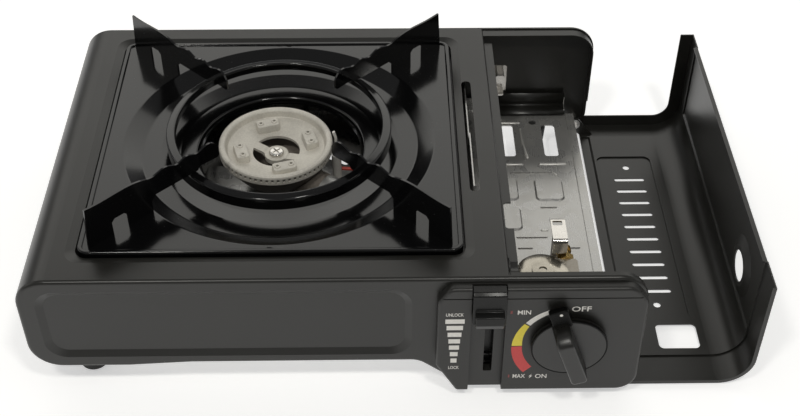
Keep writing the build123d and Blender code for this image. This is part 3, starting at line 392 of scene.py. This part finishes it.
# a line with its corners turned into arcs: each arc starts and ends at radius / tan(half the corner) from
# the corner, and its points are the two end radii weighted by the sines of the angles left and gone
def filleted(points, radii, closed=True, steps=6):
    points = np.asarray(points, float)
    share = np.linspace(0, 1, steps)[:, None]
    line = []
    for number, (point, radius) in enumerate(zip(points, radii)):
        if radius == 0 or (not closed and number in (0, len(points) - 1)):
            line.append([point])
            continue
        before = unit(points[number - 1] - point)
        after = unit(points[(number + 1) % len(points)] - point)
        half = math.acos(max(-1, min(1, float(before @ after)))) / 2
        centre = point + unit(before + after) * radius / math.sin(half)
        start = point + before * radius / math.tan(half)
        end = point + after * radius / math.tan(half)
        sweep = math.pi - 2 * half
        turned = np.sin((1 - share) * sweep) * (start - centre) + np.sin(share * sweep) * (end - centre)
        line += [[start + before * arcGuard], centre + turned / math.sin(sweep), [end + after * arcGuard]]
    return np.concatenate(line)


# a rounded rectangle, anticlockwise from its lower right corner, always with the same number of points
def roundedOutline(low, high, radius, sideSteps=1, cornerSteps=8):
    (x0, y0), (x1, y1) = low, high
    centres = np.array([(x1, y0), (x1, y1), (x0, y1), (x0, y0)])
    centres += np.array([(-1, 1), (-1, -1), (1, -1), (1, 1)]) * radius
    turn = np.radians(np.array([[-90], [0], [90], [180]]) + np.linspace(0, 90, cornerSteps))
    corners = circlePoints(radius, turn, centres[:, None])
    here, there = corners[:, -1:], np.roll(corners, -1, 0)[:, :1]
    share = np.linspace(0, 1, sideSteps + 1)[1:-1, None]
    return np.concatenate([corners, here + (there - here) * share], 1).reshape(-1, 2)


# rows of equally many points joined into a skin, its first and last row closed with one face each
def skin(rows):
    count = len(rows[0])
    faces = gridFaces(len(rows), count, closedColumns=True)
    faces.append(list(range(count))[::-1])
    faces.append(list(range((len(rows) - 1) * count, len(rows) * count)))
    return np.concatenate(rows), faces


# the same, with the last row joined to the first
def ringSkin(rows):
    return np.concatenate(rows), gridFaces(len(rows), len(rows[0]), closedRows=True, closedColumns=True)


# skins in millimetres gathered into one piece, with normals outwards, quads smooth and end faces flat
def addOn(name, skins, body, material):
    verts, faces = [], []
    for points, corners in skins:
        first = sum(map(len, verts))
        faces += [[corner + first for corner in face] for face in corners]
        verts.append(points)
    piece = makePiece(name, np.concatenate(verts) * mm, faces, body, material)
    shape = bmesh.new()
    shape.from_mesh(piece.data)
    bmesh.ops.recalc_face_normals(shape, faces=shape.faces)
    shape.to_mesh(piece.data)
    shape.free()
    smooth = [len(polygon.vertices) <= 4 for polygon in piece.data.polygons]
    piece.data.polygons.foreach_set("use_smooth", smooth)
    return piece


# the same, standing in for a CAD node
def standIn(name, skins, node, body, material):
    piece = addOn(name, skins, body, material)
    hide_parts(node)
    return piece


# a merged copy of a CAD node with its own shading, its points moved by a rule that takes and gives mm
def reshaped(name, node, body, move):
    source = frame["nodes"][node]
    normals = np.empty(len(source.data.loops) * 3)
    source.data.corner_normals.foreach_get("vector", normals)
    mesh = source.data.copy()
    shape = bmesh.new()
    shape.from_mesh(mesh)
    bmesh.ops.remove_doubles(shape, verts=shape.verts, dist=0.001 * mm)
    shape.to_mesh(mesh)
    shape.free()
    verts = np.empty(len(mesh.vertices) * 3)
    mesh.vertices.foreach_get("co", verts)
    mesh.vertices.foreach_set("co", (move(verts.reshape(-1, 3) / mm) * mm).ravel())
    mesh.polygons.foreach_set("use_smooth", [True] * len(mesh.polygons))
    mesh.update()
    mesh.normals_split_custom_set(normals.reshape(-1, 3))
    piece = linkPiece(name, mesh, body)
    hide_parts(node)


# drip pan: rows go out along the dish as circles, round the rim as the rectangle drawn in by an inset,
# and back under the dish; all values in mm, (radius, height) in the dish and (inset, height) in the rim
panTop, panBead, panFoot, panSheet = 87.4, 88.4, 80.0, 0.8
pan = {
    "centre": (-67.8, 15.0), "half": np.array([105.7, 99.1]), "corner": 6.0, "steps": (64, 14),
    "dish": [
        (48.5, 75.8), (50.4, 79.6), (60.0, 80.0), (71.5, 82.0), (82.5, 82.0), (93.3, panTop), (95.9, panTop),
    ],
    "dishRadii": [0, 1.2, 3.0, 3.0, 3.0, 2.5, 0],
    "rim": [
        (3.4, panTop), (2.9, panTop), (2.6, panBead), (0.0, panBead), (0.0, panFoot), (panSheet, panFoot),
        (panSheet, panTop - panSheet), (3.4, panTop - panSheet),
    ],
    "rimRadii": [0, 0.25, 0.7, 0.9, 0.25, 0.25, 0.5, 0],
}


# points of the plane, counted from the pan's centre, at one height
def panRow(flat, z):
    return np.column_stack([flat + pan["centre"], np.full(len(flat), z)])


panRect = roundedOutline(-pan["half"], pan["half"], pan["corner"], *pan["steps"])
panNormals = outwardNormals(panRect)
aroundPan = circlePoints(1.0, np.arctan2(panRect[:, 1], panRect[:, 0]))
dishTop = filleted(pan["dish"], pan["dishRadii"], closed=False)
dishUnder = offsetLine(dishTop, panSheet)
panRim = filleted(pan["rim"], pan["rimRadii"], closed=False)
panRows = [panRow(aroundPan * radius, z) for radius, z in dishTop]
panRows += [panRow(panRect - panNormals * inset, z) for inset, z in panRim]
panRows += [panRow(aroundPan * radius, z) for radius, z in dishUnder[::-1]]
standIn("dripPan", [ringSkin(panRows)], "drip_pan", "pan", finishes["enamel"])

# support ring: a rolled band, its closed profile (radius, height) turned about the pan's centre
ring = {
    "profile": [
        (67.0, 89.4), (67.0, 97.2), (61.5, 98.2), (61.5, 93.6), (62.3, 93.6), (62.3, 97.25), (66.2, 96.5),
        (66.2, 89.4),
    ],
    "radii": [0.35, 1.2, 1.2, 0.35, 0.35, 0.5, 0.5, 0.35], "segments": 240,
}
aroundRing = circle(1.0, ring["segments"])
ringRows = [panRow(aroundRing * radius, z) for radius, z in filleted(ring["profile"], ring["radii"])]
standIn("supportRing", [ringSkin(ringRows)], "support_ring", "pan_support", finishes["enamel"])
print("pan and ring made")

# front panel: above a height, its depth behind the sheet is a share of the solid's
panelFlange = {"sheet": 0.8, "share": 0.2, "above": 31.0, "margin": 0.05}
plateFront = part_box("top_plate")[0][1] / mm


def shortPanelFlange(points):
    start = plateFront + panelFlange["sheet"]
    deep = points[:, 1] - start
    inFlange = (deep > panelFlange["margin"]) & (points[:, 2] > panelFlange["above"])
    points[inFlange, 1] = start + deep[inFlange] * panelFlange["share"]
    return points


reshaped("frontPanelSkin", "front_panel", "root", shortPanelFlange)

# pressed ridges of the bay's floor: points and width of each, and at both ends how far back in half
# widths a row stands and how large it is
tray = {
    "top": 20.7, "high": 0.75, "sunk": 0.1, "ends": ((1.0, 0.15), (0.7, 0.75)),
    "ridges": [
        ([(71.5, 67.2), (87.2, 67.2)], 2.4), ([(99.5, 67.2), (116.2, 67.2)], 2.4),
        ([(70.0, 111.6), (88.5, 111.6)], 2.2), ([(89.2, 104.5), (89.4, 88.0), (91.4, 74.0)], 1.9),
        ([(94.0, 2.4), (97.6, 2.4)], 1.4), ([(106.6, 58.4), (109.0, 55.6)], 1.5),
    ],
}


# rounded bar along a line of points: half an ellipse across the mean of the directions before and after
def ridge(points, width, steps=9):
    points = np.asarray(points, float)
    directions = unit(np.diff(points, axis=0))
    along = unit(np.concatenate([directions[:1], directions]) + np.concatenate([directions, directions[-1:]]))
    across = -toTheRight(along)
    rows = [(points[0] - directions[0] * back * width / 2, across[0], size) for back, size in tray["ends"]]
    rows += [(point, side, 1.0) for point, side in zip(points, across)]
    end = points[-1]
    rows += [(end + directions[-1] * back * width / 2, across[-1], size) for back, size in tray["ends"][::-1]]
    turn = np.linspace(0, math.pi, steps)
    lines = []
    for point, side, size in rows:
        flat = point + np.outer(np.cos(turn), side) * size * width / 2
        height = tray["top"] - tray["sunk"] + (tray["sunk"] + tray["high"]) * np.sin(turn) * size
        lines.append(np.column_stack([flat, height]))
    return skin(lines)


# the ridges take the lighter galvanised copy, a painted highlight along them
addOn("trayRidges", [ridge(*run) for run in tray["ridges"]], "root", finishes["bright_sheet"])

# black lip before the rear panel: a bent sheet, its line (y, height) carried along X
lip = {"x": (61.9, 121.2), "line": [(118.4, 23.4), (128.6, 23.4), (128.6, 33.5)], "bend": 1.6, "sheet": 0.7}
lipLine = filleted(lip["line"], [0, lip["bend"], 0], closed=False)
lipOutline = np.concatenate([lipLine, offsetLine(lipLine, lip["sheet"])[::-1]])
lipRows = [np.column_stack([np.full(len(lipOutline), x), lipOutline]) for x in lip["x"]]
addOn("bayRearLip", [skin(lipRows)], "root", finishes["body_coating"])


# flat plate between two corners, its four edges along Y rounded
def plateSkin(low, high, radius):
    outline = roundedOutline((low[0], low[2]), (high[0], high[2]), radius)
    return skin([np.insert(outline, 1, y, axis=1) for y in (low[1], high[1])])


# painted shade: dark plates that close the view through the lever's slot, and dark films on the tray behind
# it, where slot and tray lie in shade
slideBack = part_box("lock_slide")[1][1] / mm
slotShade = {
    "radius": 0.04,
    "plates": {
        "behindSlide": ((42.0, slideBack + 0.5, 22.5), (61.0, slideBack + 1.2, 70.0)),
        "beforeTray": ((42.0, -103.4, 6.6), (61.0, -102.9, 18.4)),
        "filmOnTray": ((43.2, -101.9, 20.72), (60.8, -96.0, 20.82)),
        "filmOnTrayFront": ((43.2, -102.34, 16.0), (60.8, -102.22, 22.6)),
    },
}
slotShadeSkins = [plateSkin(low, high, slotShade["radius"]) for low, high in slotShade["plates"].values()]
addOn("slotShadePlates", slotShadeSkins, "root", finishes["lever_black"])

# front corner of the bay's ledge: a level and an upright plate with one lower corner in common
ledge = {
    "low": (61.7, -102.3, 82.2), "high": {"level": (67.2, -88.45, 83.0), "upright": (62.5, -88.45, 86.2)},
    "radius": 0.3,
}
ledgeSkins = [plateSkin(ledge["low"], high, ledge["radius"]) for high in ledge["high"].values()]
addOn("bayCorner", ledgeSkins, "root", finishes["body_coating"])
print("bay fitted")

# burner head: a turned dish with a pressed rim and four raised blocks, its openings, ports and bores cut
# out; profile and pads are (radius, height), the side of a block is (inset, height)
burner = {
    "centre": (-70.7, 15.0), "segments": 256, "sharp": math.radians(35),
    "profile": [
        (0.02, 75.0), (6.6, 75.0), (8.4, 76.0), (29.4, 80.2), (30.3, 83.9), (30.9, 84.7), (31.9, 85.0),
        (33.0, 85.0), (33.9, 84.5), (34.3, 83.6), (34.3, 79.05), (33.0, 79.05), (33.0, 83.2), (31.5, 83.2),
        (30.9, 79.05), (8.8, 74.2), (7.4, 72.2), (0.02, 72.2),
    ],
    "radii": [0, 0.5, 1.0, 0.8, 0.3, 0.4, 0.4, 0.4, 0.4, 0.3, 0.2, 0.2, 0.3, 0.3, 0.3, 0.5, 0.5, 0],
    "block": {
        "turn": 17.0, "low": np.array([17.2, -7.2]), "high": np.array([25.4, 7.2]), "corner": 1.3,
        "side": [(0.0, 75.0), (0.35, 82.4), (0.6, 82.85), (1.0, 83.0)],
    },
    "pad": {
        "places": [(21.2, -4.2), (21.2, 4.2)], "side": [(1.95, 82.0), (1.9, 83.35), (1.6, 83.6)],
        "segments": 24,
    },
    "bore": {"radius": 0.95, "z": (78.5, 90.0), "segments": 16},
    "opening": {"radii": (14.3, 7.2), "halfWeb": 2.9, "turn": -25.0, "z": (70.0, 82.5), "steps": 28},
    "port": {"count": 64, "low": (32.5, -0.75), "high": (36.0, 0.75), "z": (80.8, 83.0)},
}


# the same, counted from the burner's centre
def onBurner(flat, z):
    return np.column_stack([flat + burner["centre"], np.full(len(flat), z)])


# points in the plane turned anticlockwise about the origin
def turnedBy(flat, degrees):
    cosine, sine = math.cos(math.radians(degrees)), math.sin(math.radians(degrees))
    return np.asarray(flat, float) @ np.array([[cosine, sine], [-sine, cosine]])


# an outline at two heights, as a cutter
def cutterSkin(outline, heights):
    return skin([onBurner(outline, z) for z in heights])


# the blocks with their pads, and the cutters of the pads' bores
def burnerBlocks(block, pad, bore):
    quarterTurns = 90 * np.arange(4)
    raised, cutters = [], []
    for angle in block["turn"] + quarterTurns:
        outlines = [
            (roundedOutline(block["low"] + inset, block["high"] - inset, block["corner"], cornerSteps=5), z)
            for inset, z in block["side"]
        ]
        raised.append(skin([onBurner(turnedBy(outline, angle), z) for outline, z in outlines]))
        for middle in pad["places"]:
            circles = [(circle(radius, pad["segments"], middle), z) for radius, z in pad["side"]]
            raised.append(skin([onBurner(turnedBy(outline, angle), z) for outline, z in circles]))
            hole = circle(bore["radius"], bore["segments"], middle)
            cutters.append(cutterSkin(turnedBy(hole, angle), bore["z"]))
    return raised, cutters


# cutters of the two openings: an outer and an inner arc, whose ends lie half a web from the middle
def burnerOpenings(opening):
    arcs = []
    for radius in opening["radii"]:
        edge = math.asin(opening["halfWeb"] / radius)
        arcs.append(circlePoints(radius, np.linspace(edge, math.pi - edge, opening["steps"])))
    outline = np.concatenate([arcs[0], arcs[1][::-1]])
    return [cutterSkin(turnedBy(outline, opening["turn"] + side), opening["z"]) for side in (0, 180)]


# cutters of the flame ports: a rectangle through the skirt, turned round in equal steps
def burnerPorts(port):
    (x0, y0), (x1, y1) = port["low"], port["high"]
    outline = [(x0, y0), (x1, y0), (x1, y1), (x0, y1)]
    return [cutterSkin(turnedBy(outline, 360 / port["count"] * n), port["z"]) for n in range(port["count"])]


burnerLine = filleted(burner["profile"], burner["radii"], steps=4)
dishRows = [onBurner(circle(radius, burner["segments"]), z) for radius, z in burnerLine]
raised, cutters = burnerBlocks(burner["block"], burner["pad"], burner["bore"])
cutters += burnerOpenings(burner["opening"]) + burnerPorts(burner["port"])
headSkins = [skin(dishRows), *raised]
alloy = finishes["burner_alloy"]
burnerPiece = standIn("burnerHead", headSkins, "burner_head", "root", alloy)
cutter = addOn("burnerCutter", cutters, "root", alloy)
cut = burnerPiece.modifiers.new("openings", "BOOLEAN")
cut.operation = "DIFFERENCE"
cut.solver = "EXACT"
cut.use_self = True  # joins the blocks and the dish
cut.object = cutter
bpy.context.view_layer.update()
cutMesh = bpy.data.meshes.new_from_object(burnerPiece.evaluated_get(bpy.context.evaluated_depsgraph_get()))
burnerPiece.modifiers.clear()
burnerPiece.data = cutMesh
cutMesh.polygons.foreach_set("use_smooth", [True] * len(cutMesh.polygons))
cutMesh.set_sharp_from_angle(angle=burner["sharp"])
bpy.data.objects.remove(cutter)
print("burner head made:", len(cutMesh.polygons), "faces")

# knob: disc, pointer tab and grip, each a stack of outlines along and across the pointer that draws in at
# the top, with heights from the face; a thin darker edge, painted shade round the disc's side, and a printed
# dot
knobLook = {
    "centre": (95.6, -114.398, 44.6), "angle": math.radians(109.5), "segments": 160,
    "disc": {"radius": 21.0, "thick": 3.0, "round": 0.8},
    "tab": {
        "low": np.array([17.0, -6.6]), "high": np.array([30.0, 4.0]), "corner": 1.4, "thick": 3.5,
        "round": 0.6,
    },
    "grip": {
        "low": (-20.4, -19.2), "high": (21.5, 12.5), "half": 4.9, "draft": 0.03, "corner": 2.2,
        "z": (2.4, 13.6), "round": 1.3, "steps": 7,
    },
    "dot": {"centre": (27.6, -2.6), "radius": 0.9, "z": (3.4, 3.56), "segments": 32},
    "edge": [(0.08, 1.4), (0.08, 2.9), (-0.1, 3.08), (-0.8, 3.08), (-0.8, 2.6), (-0.1, 1.4)],
}
knobAlong = np.array([math.cos(knobLook["angle"]), 0, math.sin(knobLook["angle"])])
knobAcross = np.array([-math.sin(knobLook["angle"]), 0, math.cos(knobLook["angle"])])


# centre + first value * along the pointer + second value * across it + height out of the face
def onKnob(flat, height):
    outwards = np.array([0.0, -1.0, 0.0]) * height
    return np.array(knobLook["centre"]) + flat[:, :1] * knobAlong + flat[:, 1:] * knobAcross + outwards


# heights and insets of a side that ends in a quarter round
def roundedTop(low, high, radius, steps=6):
    turn = np.linspace(0, math.pi / 2, steps)
    heights = [low, *(high - radius + radius * np.sin(turn))]
    insets = [0.0, *(radius - radius * np.cos(turn))]
    return list(zip(heights, insets))


# a circle that is drawn in as it rises
def knobDisc(look):
    sides = roundedTop(0.0, look["thick"], look["round"])
    return skin([onKnob(knobCircle * (look["radius"] - inset), height) for height, inset in sides])


# a rounded rectangle that is drawn in as it rises
def knobTab(look):
    rows = []
    for height, inset in roundedTop(0.0, look["thick"], look["round"]):
        outline = roundedOutline(look["low"] + inset, look["high"] - inset, look["corner"] - inset)
        rows.append(onKnob(outline, height))
    return skin(rows)


# the same with leaning ends: their places go from the first to the second value as it rises
def knobGrip(look):
    rows = []
    for height, inset in roundedTop(*look["z"], look["round"], look["steps"]):
        lowEnd = np.interp(height, look["z"], look["low"]) + inset
        highEnd = np.interp(height, look["z"], look["high"]) - inset
        half = look["half"] - look["draft"] * (height - look["z"][0]) - inset
        outline = roundedOutline((lowEnd, -half), (highEnd, half), look["corner"] - inset)
        rows.append(onKnob(outline, height))
    return skin(rows)


knobCircle = circle(1.0, knobLook["segments"])
knobSkins = [knobDisc(knobLook["disc"]), knobGrip(knobLook["grip"])]
standIn("controlKnob", knobSkins, "knob", "knob", finishes["knob_black"])
addOn("knobPointer", [knobTab(knobLook["tab"])], "knob", finishes["pointer_black"])
dot = knobLook["dot"]
dotCircle = circle(dot["radius"], dot["segments"], dot["centre"])
dotRows = [onKnob(dotCircle, height) for height in dot["z"]]
addOn("knobDot", [skin(dotRows)], "knob", inks["white"])
# painted shade: a dark band over the disc's side and its outer rim
discRadius = knobLook["disc"]["radius"]
edgeShadeRows = [onKnob(knobCircle * (discRadius + out), height) for out, height in knobLook["edge"]]
addOn("knobEdgeShade", [ringSkin(edgeShadeRows)], "knob", finishes["pointer_black"])

# the control box's face leans back: Y is topY at markZ and grows by tan(tilt) for each mm of height
face = {"topY": -111.2, "markZ": 79.0, "tilt": math.radians(2.7), "proud": 0.06}


def faceY(z):
    return face["topY"] + math.tan(face["tilt"]) * (z - face["markZ"])


# lock lever: a plate and a narrower thumb shelf; profiles are (depth out of the face, height)
lever = [
    {
        "profile": [(-4.0, 84.0), (1.4, 84.0), (3.4, 82.6), (4.6, 74.0), (4.6, 62.4), (-4.0, 62.4)],
        "radii": [0.4, 0.9, 1.2, 1.0, 0.8, 0.4], "ends": (41.6, 59.8), "bevel": 0.5,
    },
    {
        "profile": [
            (0.0, 74.2), (4.8, 74.2), (5.6, 73.4), (9.4, 72.8), (9.9, 67.6), (8.2, 63.6), (4.8, 62.4),
            (0.0, 62.4),
        ],
        "radii": [0.3, 0.3, 0.4, 0.8, 2.0, 1.4, 0.8, 0.3], "ends": (42.8, 58.6), "bevel": 0.9,
    },
]


# bar along X with a side profile, its ends drawn in by a quarter round; profiles run clockwise, so the
# outward normals are turned about
def leverBar(bar, steps=5):
    outline = filleted(bar["profile"], bar["radii"])
    normals = -outwardNormals(outline)
    turn = np.linspace(0, math.pi / 2, steps)
    low, high = bar["ends"]
    ends = [(low + bar["bevel"] * (1 - math.cos(t)), bar["bevel"] * (1 - math.sin(t))) for t in turn]
    ends += [(low + high - x, inset) for x, inset in ends[::-1]]
    rows = []
    for x, inset in ends:
        out, z = (outline - normals * inset).T
        rows.append(np.stack([np.full(len(z), x), faceY(z) - out, z], -1))
    return skin(rows)


leverSkins = [leverBar(bar) for bar in lever]
standIn("lockLever", leverSkins, "lock_lever", "lever", finishes["lever_black"])
print("knob and lever made")


# printing: flat pieces just proud of the face, from places in X and height
def printed(name, x, z, faces, ink):
    verts = np.stack([x, faceY(z) - face["proud"], z], -1) * mm
    makePiece(name, verts, faces, "root", inks[ink], smooth=False)


# patch between two lines of equally many points
def printPatch(name, lower, upper, ink):
    points = np.concatenate([lower, upper])
    printed(name, points[:, 0], points[:, 1], gridFaces(2, len(lower)), ink)


# dial arc: its outer and inner radii are worked out between the given angles
arc = {
    "centre": (93.5, 42.5), "angles": (97.0, 142.0, 180.0, 225.0), "outer": (28.5, 28.1, 29.2, 30.6),
    "inner": (25.7, 24.9, 23.4, 24.2), "steps": 40,
    "spans": {"white": (97.0, 142.8), "yellow": (144.6, 181.0), "red": (182.2, 225.0)},
}
for ink, span in arc["spans"].items():
    angle = np.linspace(*span, arc["steps"])
    inner, outer = (np.interp(angle, arc["angles"], arc[edge])[:, None] for edge in ("inner", "outer"))
    edges = [circlePoints(radius, np.radians(angle), arc["centre"]) for radius in (inner, outer)]
    printPatch("dialArc_" + ink, *edges, ink)

# lock scale: bars that grow shorter downwards
lockScale = {
    "x": 32.5, "height": 3.3, "z": (61.2, 56.3, 51.1, 46.0, 41.1, 35.9, 30.8),
    "width": (10.5, 9.0, 7.6, 6.4, 5.6, 4.3, 3.4),
}
for number, (z, width) in enumerate(zip(lockScale["z"], lockScale["width"]), 1):
    across = lockScale["x"] + np.array([-0.5, 0.5]) * width
    low, high = (np.stack([across, np.full(2, z + side * lockScale["height"])], -1) for side in (-0.5, 0.5))
    printPatch(f"lockBar_{number}", low, high, "white")


# values stretched so that their lowest and highest come to lie at low and high
def fitted(values, low, high):
    return low + (values - values.min()) / (values.max() - values.min()) * (high - low)


# a word: text made a mesh, fitted to a box of low x, high x, low z, high z
def printWord(name, text, box):
    curve = bpy.data.curves.new(name, "FONT")
    curve.body = text
    curve.resolution_u = 4
    curve.offset = 0.012  # bolder strokes
    source = bpy.data.objects.new(name + "Text", curve)
    bpy.context.scene.collection.objects.link(source)
    bpy.context.view_layer.update()
    flat = bpy.data.meshes.new_from_object(source.evaluated_get(bpy.context.evaluated_depsgraph_get()))
    bpy.data.objects.remove(source)
    verts = np.empty(len(flat.vertices) * 3)
    flat.vertices.foreach_get("co", verts)
    x, z = verts[::3], verts[1::3]
    faces = [list(polygon.vertices) for polygon in flat.polygons]
    printed(name, fitted(x, *box[:2]), fitted(z, *box[2:]), faces, "white")


words = {
    "wordOff": ("OFF", (95.3, 106.0, 68.0, 71.7)), "wordMin": ("MIN", (66.2, 73.4, 66.0, 69.2)),
    "wordMax": ("MAX", (66.3, 73.3, 16.2, 19.3)), "wordOn": ("ON", (79.0, 85.5, 15.9, 19.2)),
    "wordUnlock": ("UNLOCK", (27.5, 37.1, 65.0, 67.4)), "wordLock": ("LOCK", (29.7, 35.7, 24.0, 26.4)),
}
for name, (text, box) in words.items():
    printWord(name, text, box)

# small signs: closed outlines in X and height
signs = {
    "sparkSign": (
        [(77.0, 19.4), (75.2, 17.3), (76.3, 17.4), (75.4, 15.6), (77.5, 18.0), (76.4, 17.9)], "white",
    ),
    "minMark": ([(62.3, 66.6), (63.5, 66.6), (63.5, 68.9), (62.3, 68.9)], "dullRed"),
    "maxMark": ([(63.6, 16.6), (64.5, 16.6), (64.5, 19.0), (63.6, 19.0)], "dullRed"),
}
for name, (outline, ink) in signs.items():
    printed(name, *np.array(outline).T, [list(range(len(outline)))], ink)
print("printing done")

# stage: a pale floor that glows a little, just under the feet
floor = {"half": 6.0, "z": -0.0002, "glow": 0.45}
quarters = [(-1, -1), (1, -1), (1, 1), (-1, 1)]
floorCorners = [(x * floor["half"], y * floor["half"], floor["z"]) for x, y in quarters]
floorMesh = bpy.data.meshes.new("floor")
floorMesh.from_pydata(floorCorners, [], [(0, 1, 2, 3)])
floorSheet = bpy.data.objects.new("floor", floorMesh)
bpy.context.scene.collection.objects.link(floorSheet)
floorLook = {
    "Base Color": (0.9, 0.9, 0.9, 1), "Roughness": 0.9, "Emission Color": (1, 1, 1, 1),
    "Emission Strength": floor["glow"],
}
floorMesh.materials.append(Paint("floorPaint", floorLook).material)

surroundings = {"Color": (1.0, 1.0, 1.0, 1), "Strength": 0.22}
world = bpy.data.worlds.new("studio")
bpy.context.scene.world = world
world.use_nodes = True
for socket, value in surroundings.items():
    world.node_tree.nodes["Background"].inputs[socket].default_value = value

warmWhite = (1.0, 0.985, 0.93)


# rectangular lamp that faces a point of the stove; its power is brightness * pi * area
def softBox(name, place, target, size, brightness):
    lamp = bpy.data.lights.new(name, "AREA")
    lamp.shape = "RECTANGLE"
    lamp.size, lamp.size_y = size
    lamp.energy = brightness * math.pi * size[0] * size[1]
    lamp.color = warmWhite
    light = bpy.data.objects.new(name, lamp)
    bpy.context.scene.collection.objects.link(light)
    light.location = place
    light.rotation_euler = (Vector(target) - Vector(place)).to_track_quat("-Z", "Y").to_euler()


softBoxes = {
    "backdrop": ((0.0, 2.1, 1.62), (0, 0, 0.05), (4.6, 1.3), 1.2),
    "leftSide": ((-2.4, 0.1, 1.2), (0, 0, 0.05), (2.0, 1.2), 0.8),
    "rightSide": ((2.4, 0.3, 1.2), (0, 0, 0.05), (2.0, 1.2), 0.6),
    "keyLeft": ((-0.42, -0.75, 1.45), (-0.05, 0, 0.05), (0.16, 0.16), 60.0),
    "keyRight": ((0.30, -0.75, 1.45), (0.05, 0, 0.05), (0.16, 0.16), 60.0),
}
for name, settings in softBoxes.items():
    softBox(name, *settings)

# camera: place in mm, angles in radians; yaw turns to the right, pitch looks down, roll tips the picture
view = {"lens": 56.63, "place": (-5.3, -575.6, 565.9), "yaw": 0.0167, "pitch": 0.7374, "roll": 0.0030}
sinYaw, cosYaw = math.sin(view["yaw"]), math.cos(view["yaw"])
sinPitch, cosPitch = math.sin(view["pitch"]), math.cos(view["pitch"])
forward = Vector((sinYaw * cosPitch, cosYaw * cosPitch, -sinPitch))
level = Vector((cosYaw, -sinYaw, 0))
upright = level.cross(forward)
right = math.cos(view["roll"]) * level + math.sin(view["roll"]) * upright
up = -math.sin(view["roll"]) * level + math.cos(view["roll"]) * upright
cameraData = bpy.data.cameras.new("camera")
cameraData.lens = view["lens"]
cameraData.clip_start = 0.01
camera = bpy.data.objects.new("camera", cameraData)
bpy.context.scene.collection.objects.link(camera)
turned = Matrix((right, up, -forward)).transposed().to_4x4()
camera.matrix_world = Matrix.Translation(Vector(view["place"]) * mm) @ turned
bpy.context.scene.camera = camera
bpy.context.scene.view_settings.view_transform = "Standard"
print("stage set")
